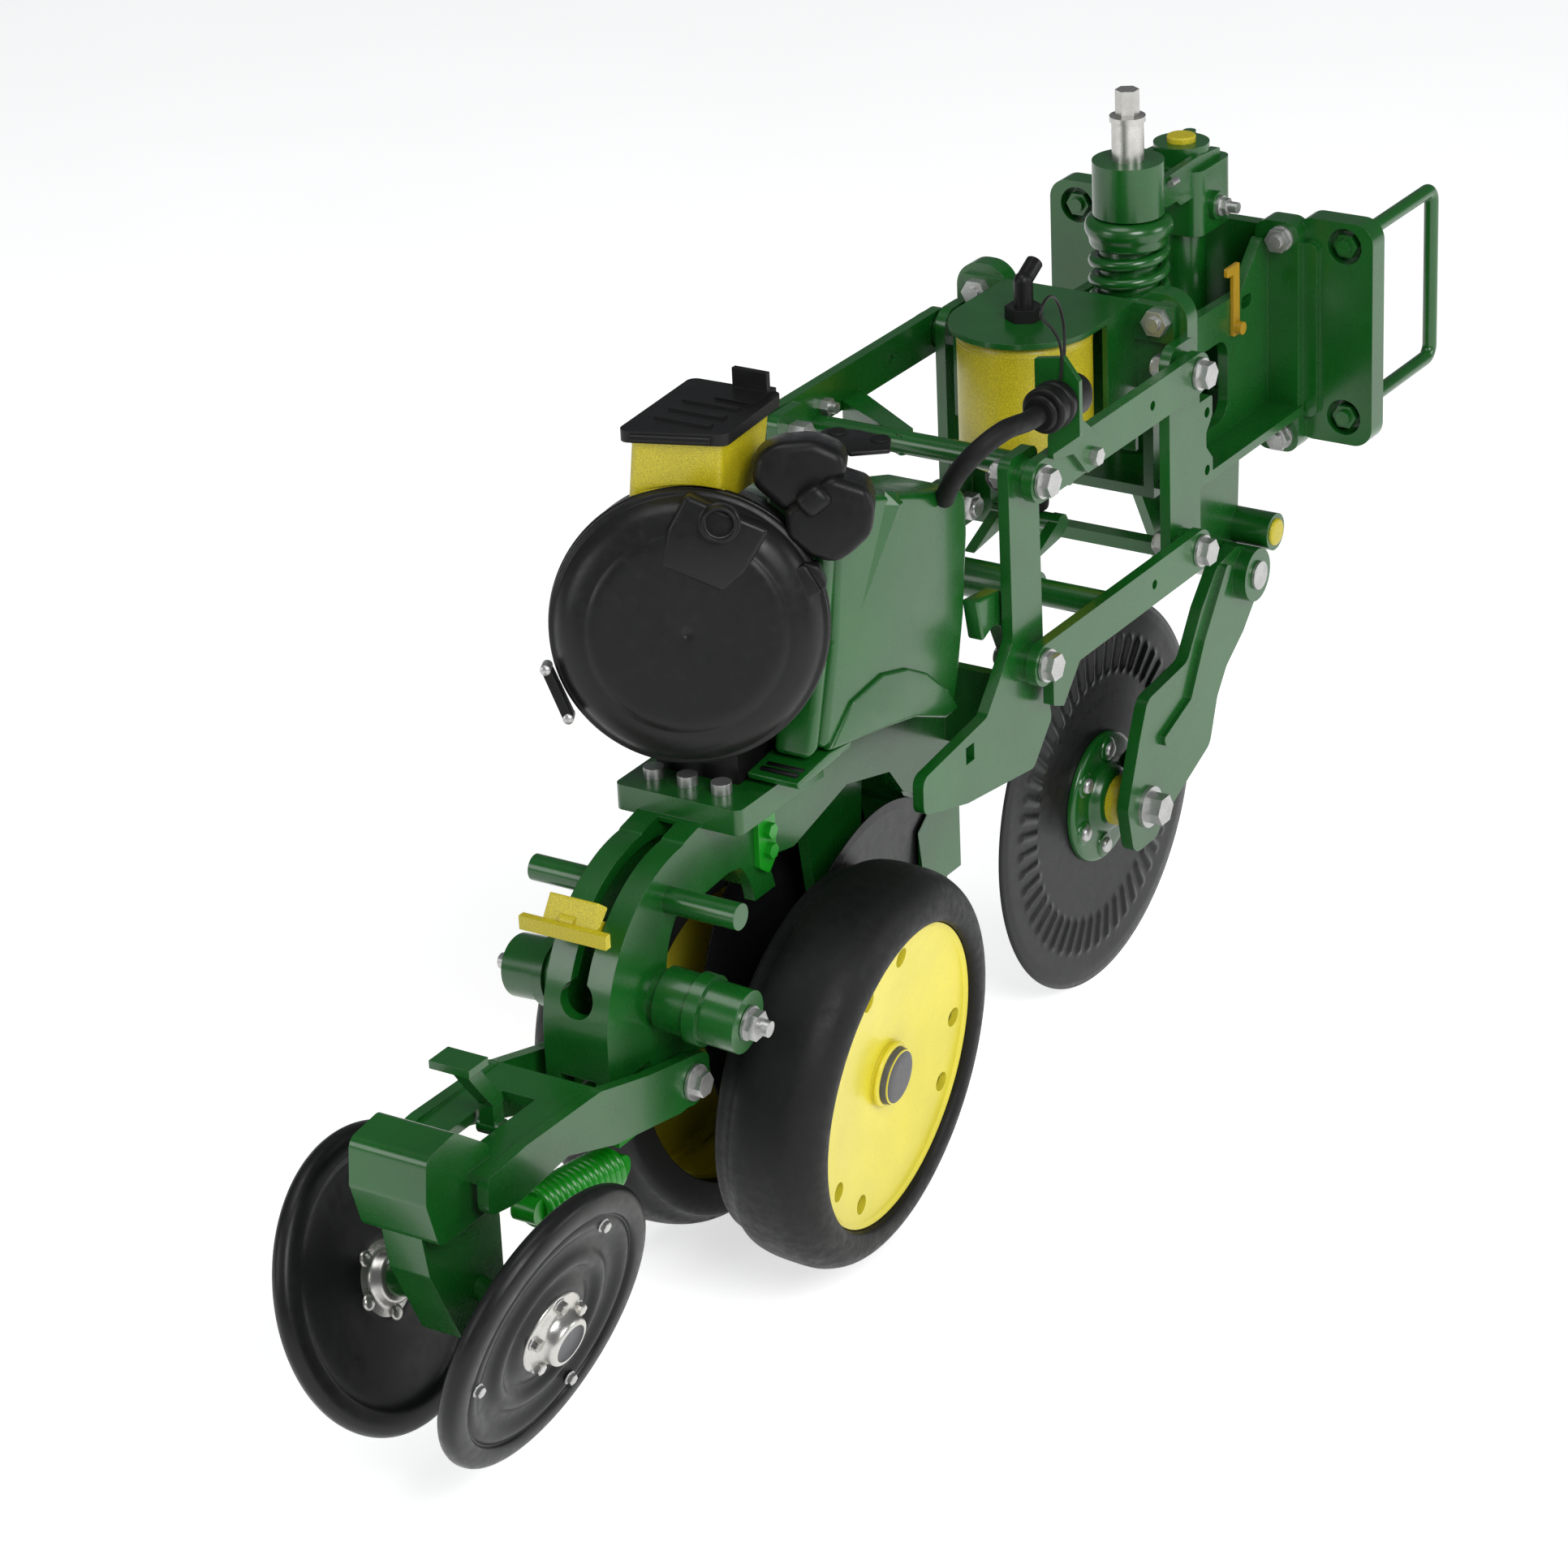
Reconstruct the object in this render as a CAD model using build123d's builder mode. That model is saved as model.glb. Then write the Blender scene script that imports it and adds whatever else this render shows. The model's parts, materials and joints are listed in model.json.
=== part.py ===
"""Corn planter row unit: toolbar head, parallel arms, seed meter, openers, gauge and closing wheels.

Frame: millimetres, +X forward to the toolbar, +Y left, +Z up. The origin is the centre of the
toolbar face, between the four U-bolt legs.
"""
from build123d import *
from math import cos, sin, radians
import os

os.makedirs("parts", exist_ok=True)

# ---- driving dimensions -------------------------------------------------------------------
BOLT_PITCH = 194.0            # U-bolt legs on a 7 in toolbar, centre to centre, height
BOLT_Y = 162.5                # each U-bolt stands this far from the row centre
UBOLT_R = 8.0
TOOLBAR = 178.0
ARM_LENGTH = 327.0            # parallel arm, pivot to pivot
ARM_RISE = 195.0              # upper arm above lower arm
FRONT_X, UPPER_Z = -351.0, 63.0
LOWER_Z = UPPER_Z - ARM_RISE
REAR_X = FRONT_X - ARM_LENGTH
ARM_IN, ARM_OUT = 147.0, 159.0  # inner and outer face of each arm plate
ARM_R = 22.0
WALL_IN, WALL_OUT = 69.0, 81.0
HANGER_IN, HANGER_OUT = 126.0, 138.0
PIN_R = 10.0                  # arm pivot pin
PIN_HOLE_R = 10.3
JACK_X, POST_X, CAN_X = -207.0, -89.0, -431.0
COULTER_X, COULTER_Z, COULTER_R = -294.0, -471.0, 216.0
COULTER_PIVOT = (-66.0, -283.0)
AXIS = Vector(0.07, -0.9925, -0.10)   # right gauge wheel, disc and gauge pivot: outward axis
GAUGE_PIVOT = Vector(-1199.5, -30.0, -286.7)
GAUGE_HUB = Vector(-958.0, -94.0, -460.0)
GAUGE_R, GAUGE_W = 203.0, 114.0
DISH_R = 165.0
DISC_CENTRE = Vector(-830.0, -25.5, -445.0)
DISC_R = 190.5
METER_AXIS = Vector(-0.853, -0.492, 0.174)
METER_FACE = Vector(-1110.0, -27.0, 45.6)
METER_R = 130.5
ARCH_X, ARCH_Z, ARCH_R = -1140.0, -303.0, 150.0
CLOSE_PIVOT = (-1193.0, -375.0)
CLOSE_R, CLOSE_W = 146.0, 23.0
CLOSE_HUB = Vector(-1493.0, -90.0, -474.0)
CLOSE_AXIS = Vector(-0.026, -0.956, -0.292)


# ---- shared shapes ------------------------------------------------------------------------
def rod_y(x, z, y0, y1, r, mode=Mode.ADD):
    """Cylinder along Y between two stations."""
    with Locations((x, (y0 + y1) / 2, z)):
        Cylinder(r, abs(y1 - y0), rotation=(90, 0, 0), mode=mode)


def rod_x(y, z, x0, x1, r, mode=Mode.ADD):
    """Cylinder along X between two stations."""
    with Locations(((x0 + x1) / 2, y, z)):
        Cylinder(r, abs(x1 - x0), rotation=(0, 90, 0), mode=mode)


def rod_z(x, y, z0, z1, r, mode=Mode.ADD):
    """Upright cylinder between two heights."""
    with Locations((x, y, (z0 + z1) / 2)):
        Cylinder(r, abs(z1 - z0), mode=mode)


def block(x0, x1, y0, y1, z0, z1, mode=Mode.ADD):
    """Box between opposite corners."""
    with Locations(((x0 + x1) / 2, (y0 + y1) / 2, (z0 + z1) / 2)):
        Box(abs(x1 - x0), abs(y1 - y0), abs(z1 - z0), mode=mode)


def corner_radii(points, radius):
    """One radius for each corner of a closed outline, never more than its two sides allow."""
    spots = [Vector(*p) for p in points]
    radii = []
    for k, spot in enumerate(spots):
        before, after = spot - spots[k - 1], spots[(k + 1) % len(spots)] - spot
        half_turn = radians(before.get_angle(after)) / 2
        room = 0.45 * min(before.length, after.length) * cos(half_turn) / sin(half_turn)
        radii.append(min(radius, room))
    return radii


def outline_y(points, radius, y0, y1, mode=Mode.ADD):
    """Rounded side outline in X, Z, extruded from y0 to y1."""
    top = max(y0, y1)
    with BuildSketch(Plane.XZ.offset(-top), mode=Mode.PRIVATE) as side:
        with BuildLine():
            FilletPolyline(*points, radius=corner_radii(points, radius), close=True)
        make_face()
    extrude(side.sketch, amount=abs(y1 - y0), mode=mode)


def outline_z(points, radius, z0, z1, mode=Mode.ADD):
    """Rounded plan outline in X, Y, extruded from z0 to z1."""
    with BuildSketch(Plane.XY.offset(min(z0, z1)), mode=Mode.PRIVATE) as plan:
        with BuildLine():
            FilletPolyline(*points, radius=corner_radii(points, radius), close=True)
        make_face()
    extrude(plan.sketch, amount=abs(z1 - z0), mode=mode)


def outline_x(points, radius, x0, x1, mode=Mode.ADD):
    """Rounded front outline in Y, Z, extruded from x0 to x1."""
    with BuildSketch(Plane.YZ.offset(min(x0, x1)), mode=Mode.PRIVATE) as front:
        with BuildLine():
            FilletPolyline(*points, radius=corner_radii(points, radius), close=True)
        make_face()
    extrude(front.sketch, amount=abs(x1 - x0), mode=mode)


def bar_y(a, b, r, y0, y1, mode=Mode.ADD):
    """Flat link with round ends between two X, Z points."""
    top = max(y0, y1)
    with BuildSketch(Plane.XZ.offset(-top), mode=Mode.PRIVATE) as side:
        with BuildLine() as path:
            Line(a, b)
        trace(path.line, line_width=2 * r)
        with Locations(a, b):
            Circle(r)
    extrude(side.sketch, amount=abs(y1 - y0), mode=mode)


def hex_y(x, z, y0, y1, across, mode=Mode.ADD):
    """Hexagon prism along Y."""
    with BuildSketch(Plane.XZ.offset(-max(y0, y1)), mode=Mode.PRIVATE) as nut:
        with Locations((x, z)):
            RegularPolygon(across / 2, 6, major_radius=False)
    extrude(nut.sketch, amount=abs(y1 - y0), mode=mode)


def hex_x(y, z, x0, x1, across, mode=Mode.ADD):
    """Hexagon prism along X."""
    with BuildSketch(Plane.YZ.offset(min(x0, x1)), mode=Mode.PRIVATE) as nut:
        with Locations((y, z)):
            RegularPolygon(across / 2, 6, major_radius=False)
    extrude(nut.sketch, amount=abs(x1 - x0), mode=mode)


def axis_plane(point, axis):
    """Plane whose normal is the given axis, with its x direction forward and level."""
    level = Vector(0, 0, 1).cross(axis)
    if level.X < 0:
        level = -level
    return Plane(origin=point, x_dir=level, z_dir=axis)


def disc_on(plane, r, t0, t1, mode=Mode.ADD, inner=0.0, at=(0, 0)):
    """Cylinder or ring normal to a plane, between two heights above it."""
    with BuildSketch(plane.offset(min(t0, t1)), mode=Mode.PRIVATE) as face:
        with Locations(at):
            Circle(r)
            if inner:
                Circle(inner, mode=Mode.SUBTRACT)
    extrude(face.sketch, amount=abs(t1 - t0), mode=mode)


def hex_on(plane, across, t0, t1, at=(0, 0)):
    """Hexagon prism normal to a plane."""
    with BuildSketch(plane.offset(min(t0, t1)), mode=Mode.PRIVATE) as face:
        with Locations(at):
            RegularPolygon(across / 2, 6, major_radius=False)
    extrude(face.sketch, amount=abs(t1 - t0))


def save(part, name):
    """Label a finished piece and write it."""
    part.label = name
    export_step(part, f"parts/{name}.step")


def save_pair(right, name):
    """Write a right-hand piece and its mirror image across the row centre."""
    save(right, f"{name}_right")
    save(mirror(right, about=Plane.XZ), f"{name}_left")


# ---- toolbar head -------------------------------------------------------------------------
with BuildPart() as toolbar_bracket:
    for s in (-1, 1):
        # wing with a raised vertical bead, and the narrow box wall behind it
        outline_x([(s * 104, -128), (s * 196, -128), (s * 196, 124), (s * 104, 124)], 22, -28, 0)
        outline_x([(s * 112, -100), (s * 134, -100), (s * 134, 98), (s * 112, 98)], 10, -36, -20)
        outline_x([(s * 66, -140), (s * 118, -140), (s * 118, 122), (s * 66, 122)], 16, -48, -20)
        outline_y([(-20, -100), (-20, 70), (-60, 108), (-110, 60), (-318, 66), (-318, -100)], 8,
                  s * WALL_IN, s * WALL_OUT)
        block(-300, -40, s * (WALL_IN + 4), s * 120, -96, -86)
        # rear cross flange, its rounded ear, and the hanger that carries the two arm pivots
        outline_x([(s * 74, -30), (s * 136, -30), (s * 136, 136), (s * 74, 136)], 28, -334, -312)
        outline_y([(-378, 92), (-316, 92), (-316, -158), (-378, -158)], 20, s * HANGER_IN, s * HANGER_OUT)
        rod_y(FRONT_X, UPPER_Z, s * HANGER_OUT, s * (ARM_IN - 1), 20)
        rod_y(FRONT_X, LOWER_Z, s * HANGER_OUT, s * (ARM_IN - 1), 20)
        # drilled side bracket on the hanger
        outline_y([(-318, 14), (-284, 14), (-284, -8), (-298, -24), (-298, -40), (-284, -56), (-284, -78),
                   (-318, -78)], 4, s * HANGER_IN, s * HANGER_OUT)
    block(-16, 0, -110, 110, -104, 104)
    block(-318, -20, -WALL_OUT, WALL_OUT, -104, -92)
    block(-330, -312, -HANGER_OUT, HANGER_OUT, -158, 40)
    # pivot hangers for the coulter arm, under the floor
    for y in (-34, 22):
        outline_y([(-20, -96), (-190, -96), (-100, -262), (-65, -306), (-30, -262)], 16, y, y + 12)
    # grease-capped bearing housing beside the coulter pivot
    rod_y(-27, -246, -80, 34, 21)
    # openings and bores
    outline_x([(-104, -144), (104, -144), (104, 28), (-104, 28)], 18, -334, -308, mode=Mode.SUBTRACT)
    outline_y([(-240, -70), (-140, -70), (-140, 20), (-240, 20)], 22, -90, 90, mode=Mode.SUBTRACT)
    for s in (-1, 1):
        for z in (-BOLT_PITCH / 2, BOLT_PITCH / 2):
            rod_x(s * BOLT_Y, z, -30, -14, 20, mode=Mode.SUBTRACT)
            rod_x(s * BOLT_Y, z, -15, 1, UBOLT_R + 0.5, mode=Mode.SUBTRACT)
        for z in (UPPER_Z, LOWER_Z):
            rod_y(FRONT_X, z, s * (HANGER_IN - 2), s * ARM_IN, PIN_R, mode=Mode.SUBTRACT)
        for z in (-2, -66):
            rod_y(-296, z, s * (HANGER_IN - 1), s * (HANGER_OUT + 1), 5.5, mode=Mode.SUBTRACT)
        bar_y((-102, 46), (-92, 46), 7, s * (WALL_IN - 1), s * (WALL_OUT + 1), mode=Mode.SUBTRACT)
        rod_x(s * 106, 108, -342, -310, 8, mode=Mode.SUBTRACT)
        for z in (104, -122):
            rod_x(s * 98, z, -50, -26, 8, mode=Mode.SUBTRACT)
    rod_y(COULTER_PIVOT[0], COULTER_PIVOT[1], -60, 60, 12.0, mode=Mode.SUBTRACT)
    rod_z(JACK_X, 0, -106, -90, 17.3, mode=Mode.SUBTRACT)
save(toolbar_bracket.part, "toolbar_bracket")

with BuildPart() as u_bolts:
    back = TOOLBAR + UBOLT_R
    half = BOLT_PITCH / 2
    for s in (-1, 1):
        with BuildLine(Plane.XZ.offset(-s * BOLT_Y)):
            FilletPolyline((-32, half), (back, half), (back, -half), (-32, -half), radius=14)
        with BuildSketch(Plane(origin=(-32, s * BOLT_Y, half), z_dir=(1, 0, 0))):
            Circle(UBOLT_R)
        sweep()
save(u_bolts.part, "u_bolts")

with BuildPart() as u_bolt_nuts:
    for s in (-1, 1):
        for z in (-BOLT_PITCH / 2, BOLT_PITCH / 2):
            rod_x(s * BOLT_Y, z, -17, -14, 15)
            hex_x(s * BOLT_Y, z, -27, -17, 24)
            rod_x(s * BOLT_Y, z, -28, -10, UBOLT_R, mode=Mode.SUBTRACT)
save(u_bolt_nuts.part, "u_bolt_nuts")

with BuildPart() as head_bolts:
    for s in (-1, 1):
        rod_x(s * 106, 108, -356, -304, 7.6)
        hex_x(s * 106, 108, -352, -340, 26)
        rod_x(s * 106, 108, -312, -308, 13)
        hex_x(s * 106, 108, -308, -300, 24)
        for z in (104, -122):
            rod_x(s * 98, z, -66, -28, 7.6)
            rod_x(s * 98, z, -52, -48, 14)
            hex_x(s * 98, z, -62, -52, 24)
    # bolts on the towers: post side bolt, its washer, grease fitting and side plug
    rod_y(-90, 146, -50, -46, 11)
    hex_y(-90, 146, -57, -50, 16)
    rod_y(-90, 146, -68, -57, 6)
    rod_x(-36, 196, JACK_X + 26, JACK_X + 40, 4)
save(head_bolts.part, "head_bolts")

POST_TOP = 211.0
with BuildPart() as jack_tower:
    rod_z(JACK_X, 0, -92, 168, 30)
    rod_z(JACK_X, 0, 168, 226, 38)
    # strap rib from the jack collar to the post cap
    for y in (-31, 22):
        outline_y([(-184, 169), (-158, 169), (-150, 162), (-60, 162), (-60, 200), (-110, 204), (-184, 202)], 4,
                  y, y + 9)
    # post with its square cap and round collar
    rod_z(POST_X, 0, -92, 118, 26)
    with BuildSketch(Plane.XY.offset(118)):
        with Locations((POST_X + 4, 0)):
            RectangleRounded(78, 78, 14)
    extrude(amount=72)
    rod_z(POST_X, 0, 182, POST_TOP, 30)
    rod_z(POST_X + 30, 6, 186, POST_TOP + 2, 7)
    rod_y(-90, 146, -46, -38, 15)
    # jack bore, with a running fit on the sleeve
    rod_z(JACK_X, 0, -94, 228, 17.05, mode=Mode.SUBTRACT)
    rod_z(POST_X, 0, POST_TOP - 12, POST_TOP + 1, 14.6, mode=Mode.SUBTRACT)
save(jack_tower.part, "jack_tower")

with BuildPart() as jack_spring:
    rod_z(JACK_X, 0, 142, 166, 47)
    rod_z(JACK_X, 0, 136, 143, 42)
    COILS, WIRE, PITCH, SPRING_R = 5, 6.6, 22.0, 36.6
    for k in range(COILS):
        with Locations((JACK_X, 0, 126 - k * PITCH)):
            Torus(SPRING_R, WIRE, rotation=(0, 6, 0))
    rod_z(JACK_X, 0, 24, 137, 33)
    rod_z(JACK_X, 0, 0, 170, 30.1, mode=Mode.SUBTRACT)
save(jack_spring.part, "jack_spring")

with BuildPart() as jack_screw:
    rod_z(JACK_X, 0, -60, 273, 17)
    rod_z(JACK_X, 0, 268, 274, 19)
    with BuildSketch(Plane.XY.offset(274)):
        with Locations((JACK_X, 0)):
            RegularPolygon(11, 6, major_radius=False)
    extrude(amount=28)
save(jack_screw.part, "jack_screw")

with BuildPart() as post_plug:
    rod_z(POST_X, 0, POST_TOP - 12, POST_TOP, 14.5)
    rod_z(POST_X, 0, POST_TOP, POST_TOP + 7, 15.5)
    fillet(post_plug.edges().filter_by(GeomType.CIRCLE).sort_by(Axis.Z)[-1], 2)
save(post_plug.part, "post_plug")

with BuildPart() as lock_strap:
    outline_y([(-148, 98), (-120, 98), (-120, 18), (-134, 18), (-134, 88), (-148, 88)], 2,
              -WALL_OUT - 4, -WALL_OUT)
    rod_y(-127, 27, -WALL_OUT - 12, -WALL_OUT - 4, 7)
save(lock_strap.part, "lock_strap")

# ---- air spring ----------------------------------------------------------------------------
CAN_R, CAN_BOTTOM, CAN_TOP = 69.5, -25.0, 118.0
with BuildPart() as air_can:
    rod_z(CAN_X, 0, CAN_BOTTOM, CAN_TOP, CAN_R)
    fillet(air_can.edges().filter_by(GeomType.CIRCLE), 12)
save(air_can.part, "air_can")

with BuildPart() as air_boot:
    rod_z(CAN_X, 0, -58, CAN_BOTTOM, 44)
    rod_z(CAN_X, 0, -84.6, -58, 22)
    fillet(air_boot.edges().filter_by(GeomType.CIRCLE).sort_by(Axis.Z)[-1], 8)
save(air_boot.part, "air_boot")

with BuildPart() as air_bracket:
    with BuildSketch(Plane.XY.offset(CAN_TOP)):
        with Locations((CAN_X, 0)):
            Circle(CAN_R + 8)
        with Locations(((CAN_X - 334) / 2, 0)):
            Rectangle(-CAN_X - 334, 2 * (CAN_R + 8))
    extrude(amount=6)
    block(-340, -334, -124, 124, 84, CAN_TOP + 6)
    block(-340, -334, -CAN_R - 8, CAN_R + 8, -40, CAN_TOP + 6)
    block(CAN_X - 12, -338, CAN_R + 2, CAN_R + 8, 10, CAN_TOP + 4)
    block(CAN_X + 34, -338, -CAN_R - 8, -CAN_R - 2, -20, CAN_TOP + 4)
    for s in (-1, 1):
        rod_x(s * 106, 108, -344, -330, 8, mode=Mode.SUBTRACT)
save(air_bracket.part, "air_bracket")

with BuildPart() as air_fitting:
    with BuildSketch(Plane.XY.offset(CAN_TOP + 6)):
        with Locations((CAN_X, 0)):
            RegularPolygon(17, 6, major_radius=False)
    extrude(amount=14)
    rod_z(CAN_X, 0, 138, 166, 10)
    with Locations(Location((CAN_X, 0, 164), (0, 62, -62))):
        Cylinder(9, 27, align=(Align.CENTER, Align.CENTER, Align.MIN))
    with Locations((CAN_X, 0, 164)):
        Sphere(10)
save(air_fitting.part, "air_fitting")


# ---- parallel arms ---------------------------------------------------------------------------
def arm_plate(z, s):
    """One arm plate on side s at pivot height z, with its two pin holes."""
    bar_y((REAR_X, z), (FRONT_X, z), ARM_R, s * ARM_IN, s * ARM_OUT)
    for x in (REAR_X, FRONT_X):
        rod_y(x, z, s * (ARM_IN - 1), s * (ARM_OUT + 1), PIN_HOLE_R, mode=Mode.SUBTRACT)
    rod_y(-452, z, s * (ARM_IN - 1), s * (ARM_OUT + 1), 5, mode=Mode.SUBTRACT)


with BuildPart() as upper_arm:
    arm_plate(UPPER_Z, -1)
save_pair(upper_arm.part, "upper_arm")

with BuildPart() as lower_arm:
    arm_plate(LOWER_Z, -1)
    # stop tab under the rear end
    outline_y([(-664, LOWER_Z - 16), (-604, LOWER_Z - 16), (-644, LOWER_Z - 58), (-664, LOWER_Z - 50)],
              3, -ARM_OUT, -ARM_IN)
save_pair(lower_arm.part, "lower_arm")

with BuildPart() as upper_cross:
    # cross tube behind the air spring, braced to the left arm
    rod_y(-600, 41, -ARM_IN, ARM_IN, 12)
    outline_z([(-612, 40), (-588, 40), (-516, ARM_IN), (-552, ARM_IN)], 4, 30, 52)
save(upper_cross.part, "upper_cross")

with BuildPart() as lower_cross:
    rod_y(-520, LOWER_Z, -ARM_IN, ARM_IN, 14)
    rod_y(-520, LOWER_Z, -60, 60, 20)
    for y in (-40, 28):
        outline_y([(-534, LOWER_Z + 12), (-506, LOWER_Z + 12), (-424, -84), (-416, -98), (-430, -108)],
                  6, y, y + 12)
    rod_y(-431, -94, -40, 40, 9)
save(lower_cross.part, "lower_cross")

PLUG_Y, PLUG_Z = -172.0, 144.0
with BuildPart() as connector_bracket:
    # folded tab: a foot bolted on the outer face of the right upper arm, and a cross plate
    outline_y([(-666, 82), (-626, 74), (-598, 44), (-570, 44), (-570, 72), (-612, 108), (-666, 108)], 4,
              -ARM_OUT - 6, -ARM_OUT)
    outline_x([(-195, 112), (-160, 84), (-160, 110), (-146, 114), (-146, 184), (-178, 190), (-195, 168)], 2,
              -666, -660)
    rod_x(PLUG_Y, PLUG_Z, -668, -658, 16, mode=Mode.SUBTRACT)
save(connector_bracket.part, "connector_bracket")

with BuildPart() as connector:
    rod_x(PLUG_Y, PLUG_Z, -706, -630, 15.9)
    rod_x(PLUG_Y, PLUG_Z, -690, -666, 22)
    rod_x(PLUG_Y, PLUG_Z, -660, -640, 23)
save(connector.part, "connector")

with BuildPart() as arm_bolts:
    hex_y(-586, 58, -ARM_OUT - 14, -ARM_OUT - 6, 16)
    hex_y(-586, 58, ARM_OUT, ARM_OUT + 8, 16)
    for s in (-1, 1):
        hex_y(-586, 58, s * (ARM_IN - 9), s * ARM_IN, 16)
        rod_y(-586, 58, s * (ARM_IN - 16), s * (ARM_IN - 9), 6)
save(arm_bolts.part, "arm_bolts")


def pivot_bolt(x, z, s, inner, body_outer):
    """Pivot pin with its flat washer, hexagon head and inner nut, clear of the arm plate."""
    rod_y(x, z, s * inner, s * (ARM_OUT + 1), PIN_R)
    rod_y(x, z, s * (ARM_OUT + 0.5), s * (ARM_OUT + 4), 17)
    hex_y(x, z, s * (ARM_OUT + 4), s * (ARM_OUT + 14), 25)
    hex_y(x, z, s * (inner + 4), s * (body_outer - 12), 26)


with BuildPart() as front_pins:
    for s in (-1, 1):
        for z in (UPPER_Z, LOWER_Z):
            pivot_bolt(FRONT_X, z, s, 106, HANGER_OUT)
save(front_pins.part, "front_pins")

def disc_clearance():
    """Cut the two slanted slots that the opener discs turn in."""
    for s in (-1, 1):
        side = axis_plane(Vector(DISC_CENTRE.X, -s * DISC_CENTRE.Y, DISC_CENTRE.Z),
                          Vector(AXIS.X, -s * AXIS.Y, AXIS.Z))
        disc_on(side, DISC_R + 5, -5, 5, mode=Mode.SUBTRACT)


# ---- row frame -----------------------------------------------------------------------------
PLATE_IN, PLATE_OUT = 126.0, 138.0
with BuildPart() as shank:
    for s in (-1, 1):
        outline_y([(-708, 90), (-650, 90), (-646, -150), (-632, -212), (-670, -252), (-800, -236),
                   (-884, -214), (-884, -176), (-760, -160), (-706, -100)], 12, s * PLATE_IN, s * PLATE_OUT)
        for z in (UPPER_Z, LOWER_Z):
            rod_y(REAR_X, z, s * PLATE_OUT, s * (ARM_IN - 1), 20)
            rod_y(REAR_X, z, s * (PLATE_IN - 1), s * ARM_IN, PIN_R, mode=Mode.SUBTRACT)
        block(-802, -786, s * (PLATE_IN - 1), s * (PLATE_OUT + 1), -194, -176, mode=Mode.SUBTRACT)
    # cross sheet and the front leg
    block(-668, -656, -130, 130, -244, -160)
    block(-692, -644, -34, 34, -395, -160)
    block(-680, -656, -22, 22, -400, -150, mode=Mode.SUBTRACT)
    disc_clearance()
save(shank.part, "shank")

with BuildPart() as rear_pins:
    for s in (-1, 1):
        for z in (UPPER_Z, LOWER_Z):
            pivot_bolt(REAR_X, z, s, 104, PLATE_OUT)
save(rear_pins.part, "rear_pins")

HALF_BEAM = 36.0
ARCH_IN = 118.0
with BuildPart() as frame_beam:
    outline_y([(-692.1, -160), (-760, -150), (-1070, -135), (-1150, -152), (-1150, -220), (-1075, -214),
               (-960, -236), (-860, -212), (-780, -232), (-735, -290), (-718, -395), (-692.1, -395)],
              6, -HALF_BEAM, HALF_BEAM)
    # round arch at the tail, with its upright leg
    with BuildSketch(Plane.XZ.offset(-HALF_BEAM)):
        with Locations((ARCH_X, ARCH_Z)):
            Circle(ARCH_R)
        with Locations((ARCH_X - ARCH_R / 2, ARCH_Z - 46)):
            Rectangle(ARCH_R, 92)
        with Locations((ARCH_X + 30, ARCH_Z + 30)):
            Circle(78, mode=Mode.SUBTRACT)
        with Locations((ARCH_X + 90, ARCH_Z - 60)):
            Rectangle(180, 200, mode=Mode.SUBTRACT)
        with Locations((ARCH_X - 80, ARCH_Z - 132)):
            Rectangle(170, 80, mode=Mode.SUBTRACT)
    extrude(amount=2 * HALF_BEAM)
    # hollow between the two cheeks of the arch, open at the back through the slot
    with BuildSketch(Plane.XZ.offset(-HALF_BEAM + 12)):
        with Locations((ARCH_X, ARCH_Z)):
            Circle(ARCH_R - 12)
        with Locations((ARCH_X - ARCH_R / 2 + 6, ARCH_Z - 46)):
            Rectangle(ARCH_R - 12, 76)
    extrude(amount=2 * HALF_BEAM - 24, mode=Mode.SUBTRACT)
    # seat for the meter, and the shank between the opener discs
    outline_z([(-1116, -78), (-960, -78), (-960, 62), (-1116, 62)], 8, -150, -124)
    outline_y([(-900, -200), (-780, -200), (-806, -470), (-830, -486), (-854, -470)], 10, -6, 6)
    disc_clearance()
    # gauge pivot bosses
    for s in (-1, 1):
        boss = axis_plane(Vector(GAUGE_PIVOT.X, -s * GAUGE_PIVOT.Y, GAUGE_PIVOT.Z),
                          Vector(AXIS.X, -s * AXIS.Y, AXIS.Z))
        disc_on(boss, 26, -14, 12)
    # lightening windows low in the arch, and the depth slot in its back
    block(-1300, -1262, -20, 20, -385, -340, mode=Mode.SUBTRACT)
    block(-1262, -1222, -60, 60, -385, -345, mode=Mode.SUBTRACT)
    with BuildSketch(Plane.YZ.offset(-1300)) as slot:
        with Locations((0, -262)):
            Circle(18)
        with Locations((0, -215)):
            Rectangle(18, 100)
    extrude(amount=90, mode=Mode.SUBTRACT)
    # the slot runs on over the top of the arch
    block(-1262, -1120, -11, 11, -205, -120, mode=Mode.SUBTRACT)
    rod_z(-1120, 0, -205, -150.5, 11, mode=Mode.SUBTRACT)
    for s in (-1, 1):
        rod_y(-1177, -197, s * (HALF_BEAM - 2), s * 115, 13)
save(frame_beam.part, "frame_beam")


# ---- right-hand ground tools, each mirrored to the left --------------------------------------
gauge_plane = axis_plane(GAUGE_PIVOT, AXIS)
hub_plane = axis_plane(GAUGE_HUB, AXIS)
disc_plane = axis_plane(DISC_CENTRE, AXIS)
hub_local = gauge_plane.to_local_coords(GAUGE_HUB)
HUB_FLOOR = 43 - hub_local.Z

with BuildPart() as gauge_pin:
    disc_on(gauge_plane, 12, 12, 104)
    disc_on(gauge_plane, 17, 98.6, 102)
    hex_on(gauge_plane, 26, 102, 112)
    disc_on(gauge_plane, 8, 112, 122)
with BuildPart() as gauge_pins:
    add(gauge_pin.part)
    mirror(gauge_pin.part, about=Plane.XZ)
save(gauge_pins.part, "gauge_pins")

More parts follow.
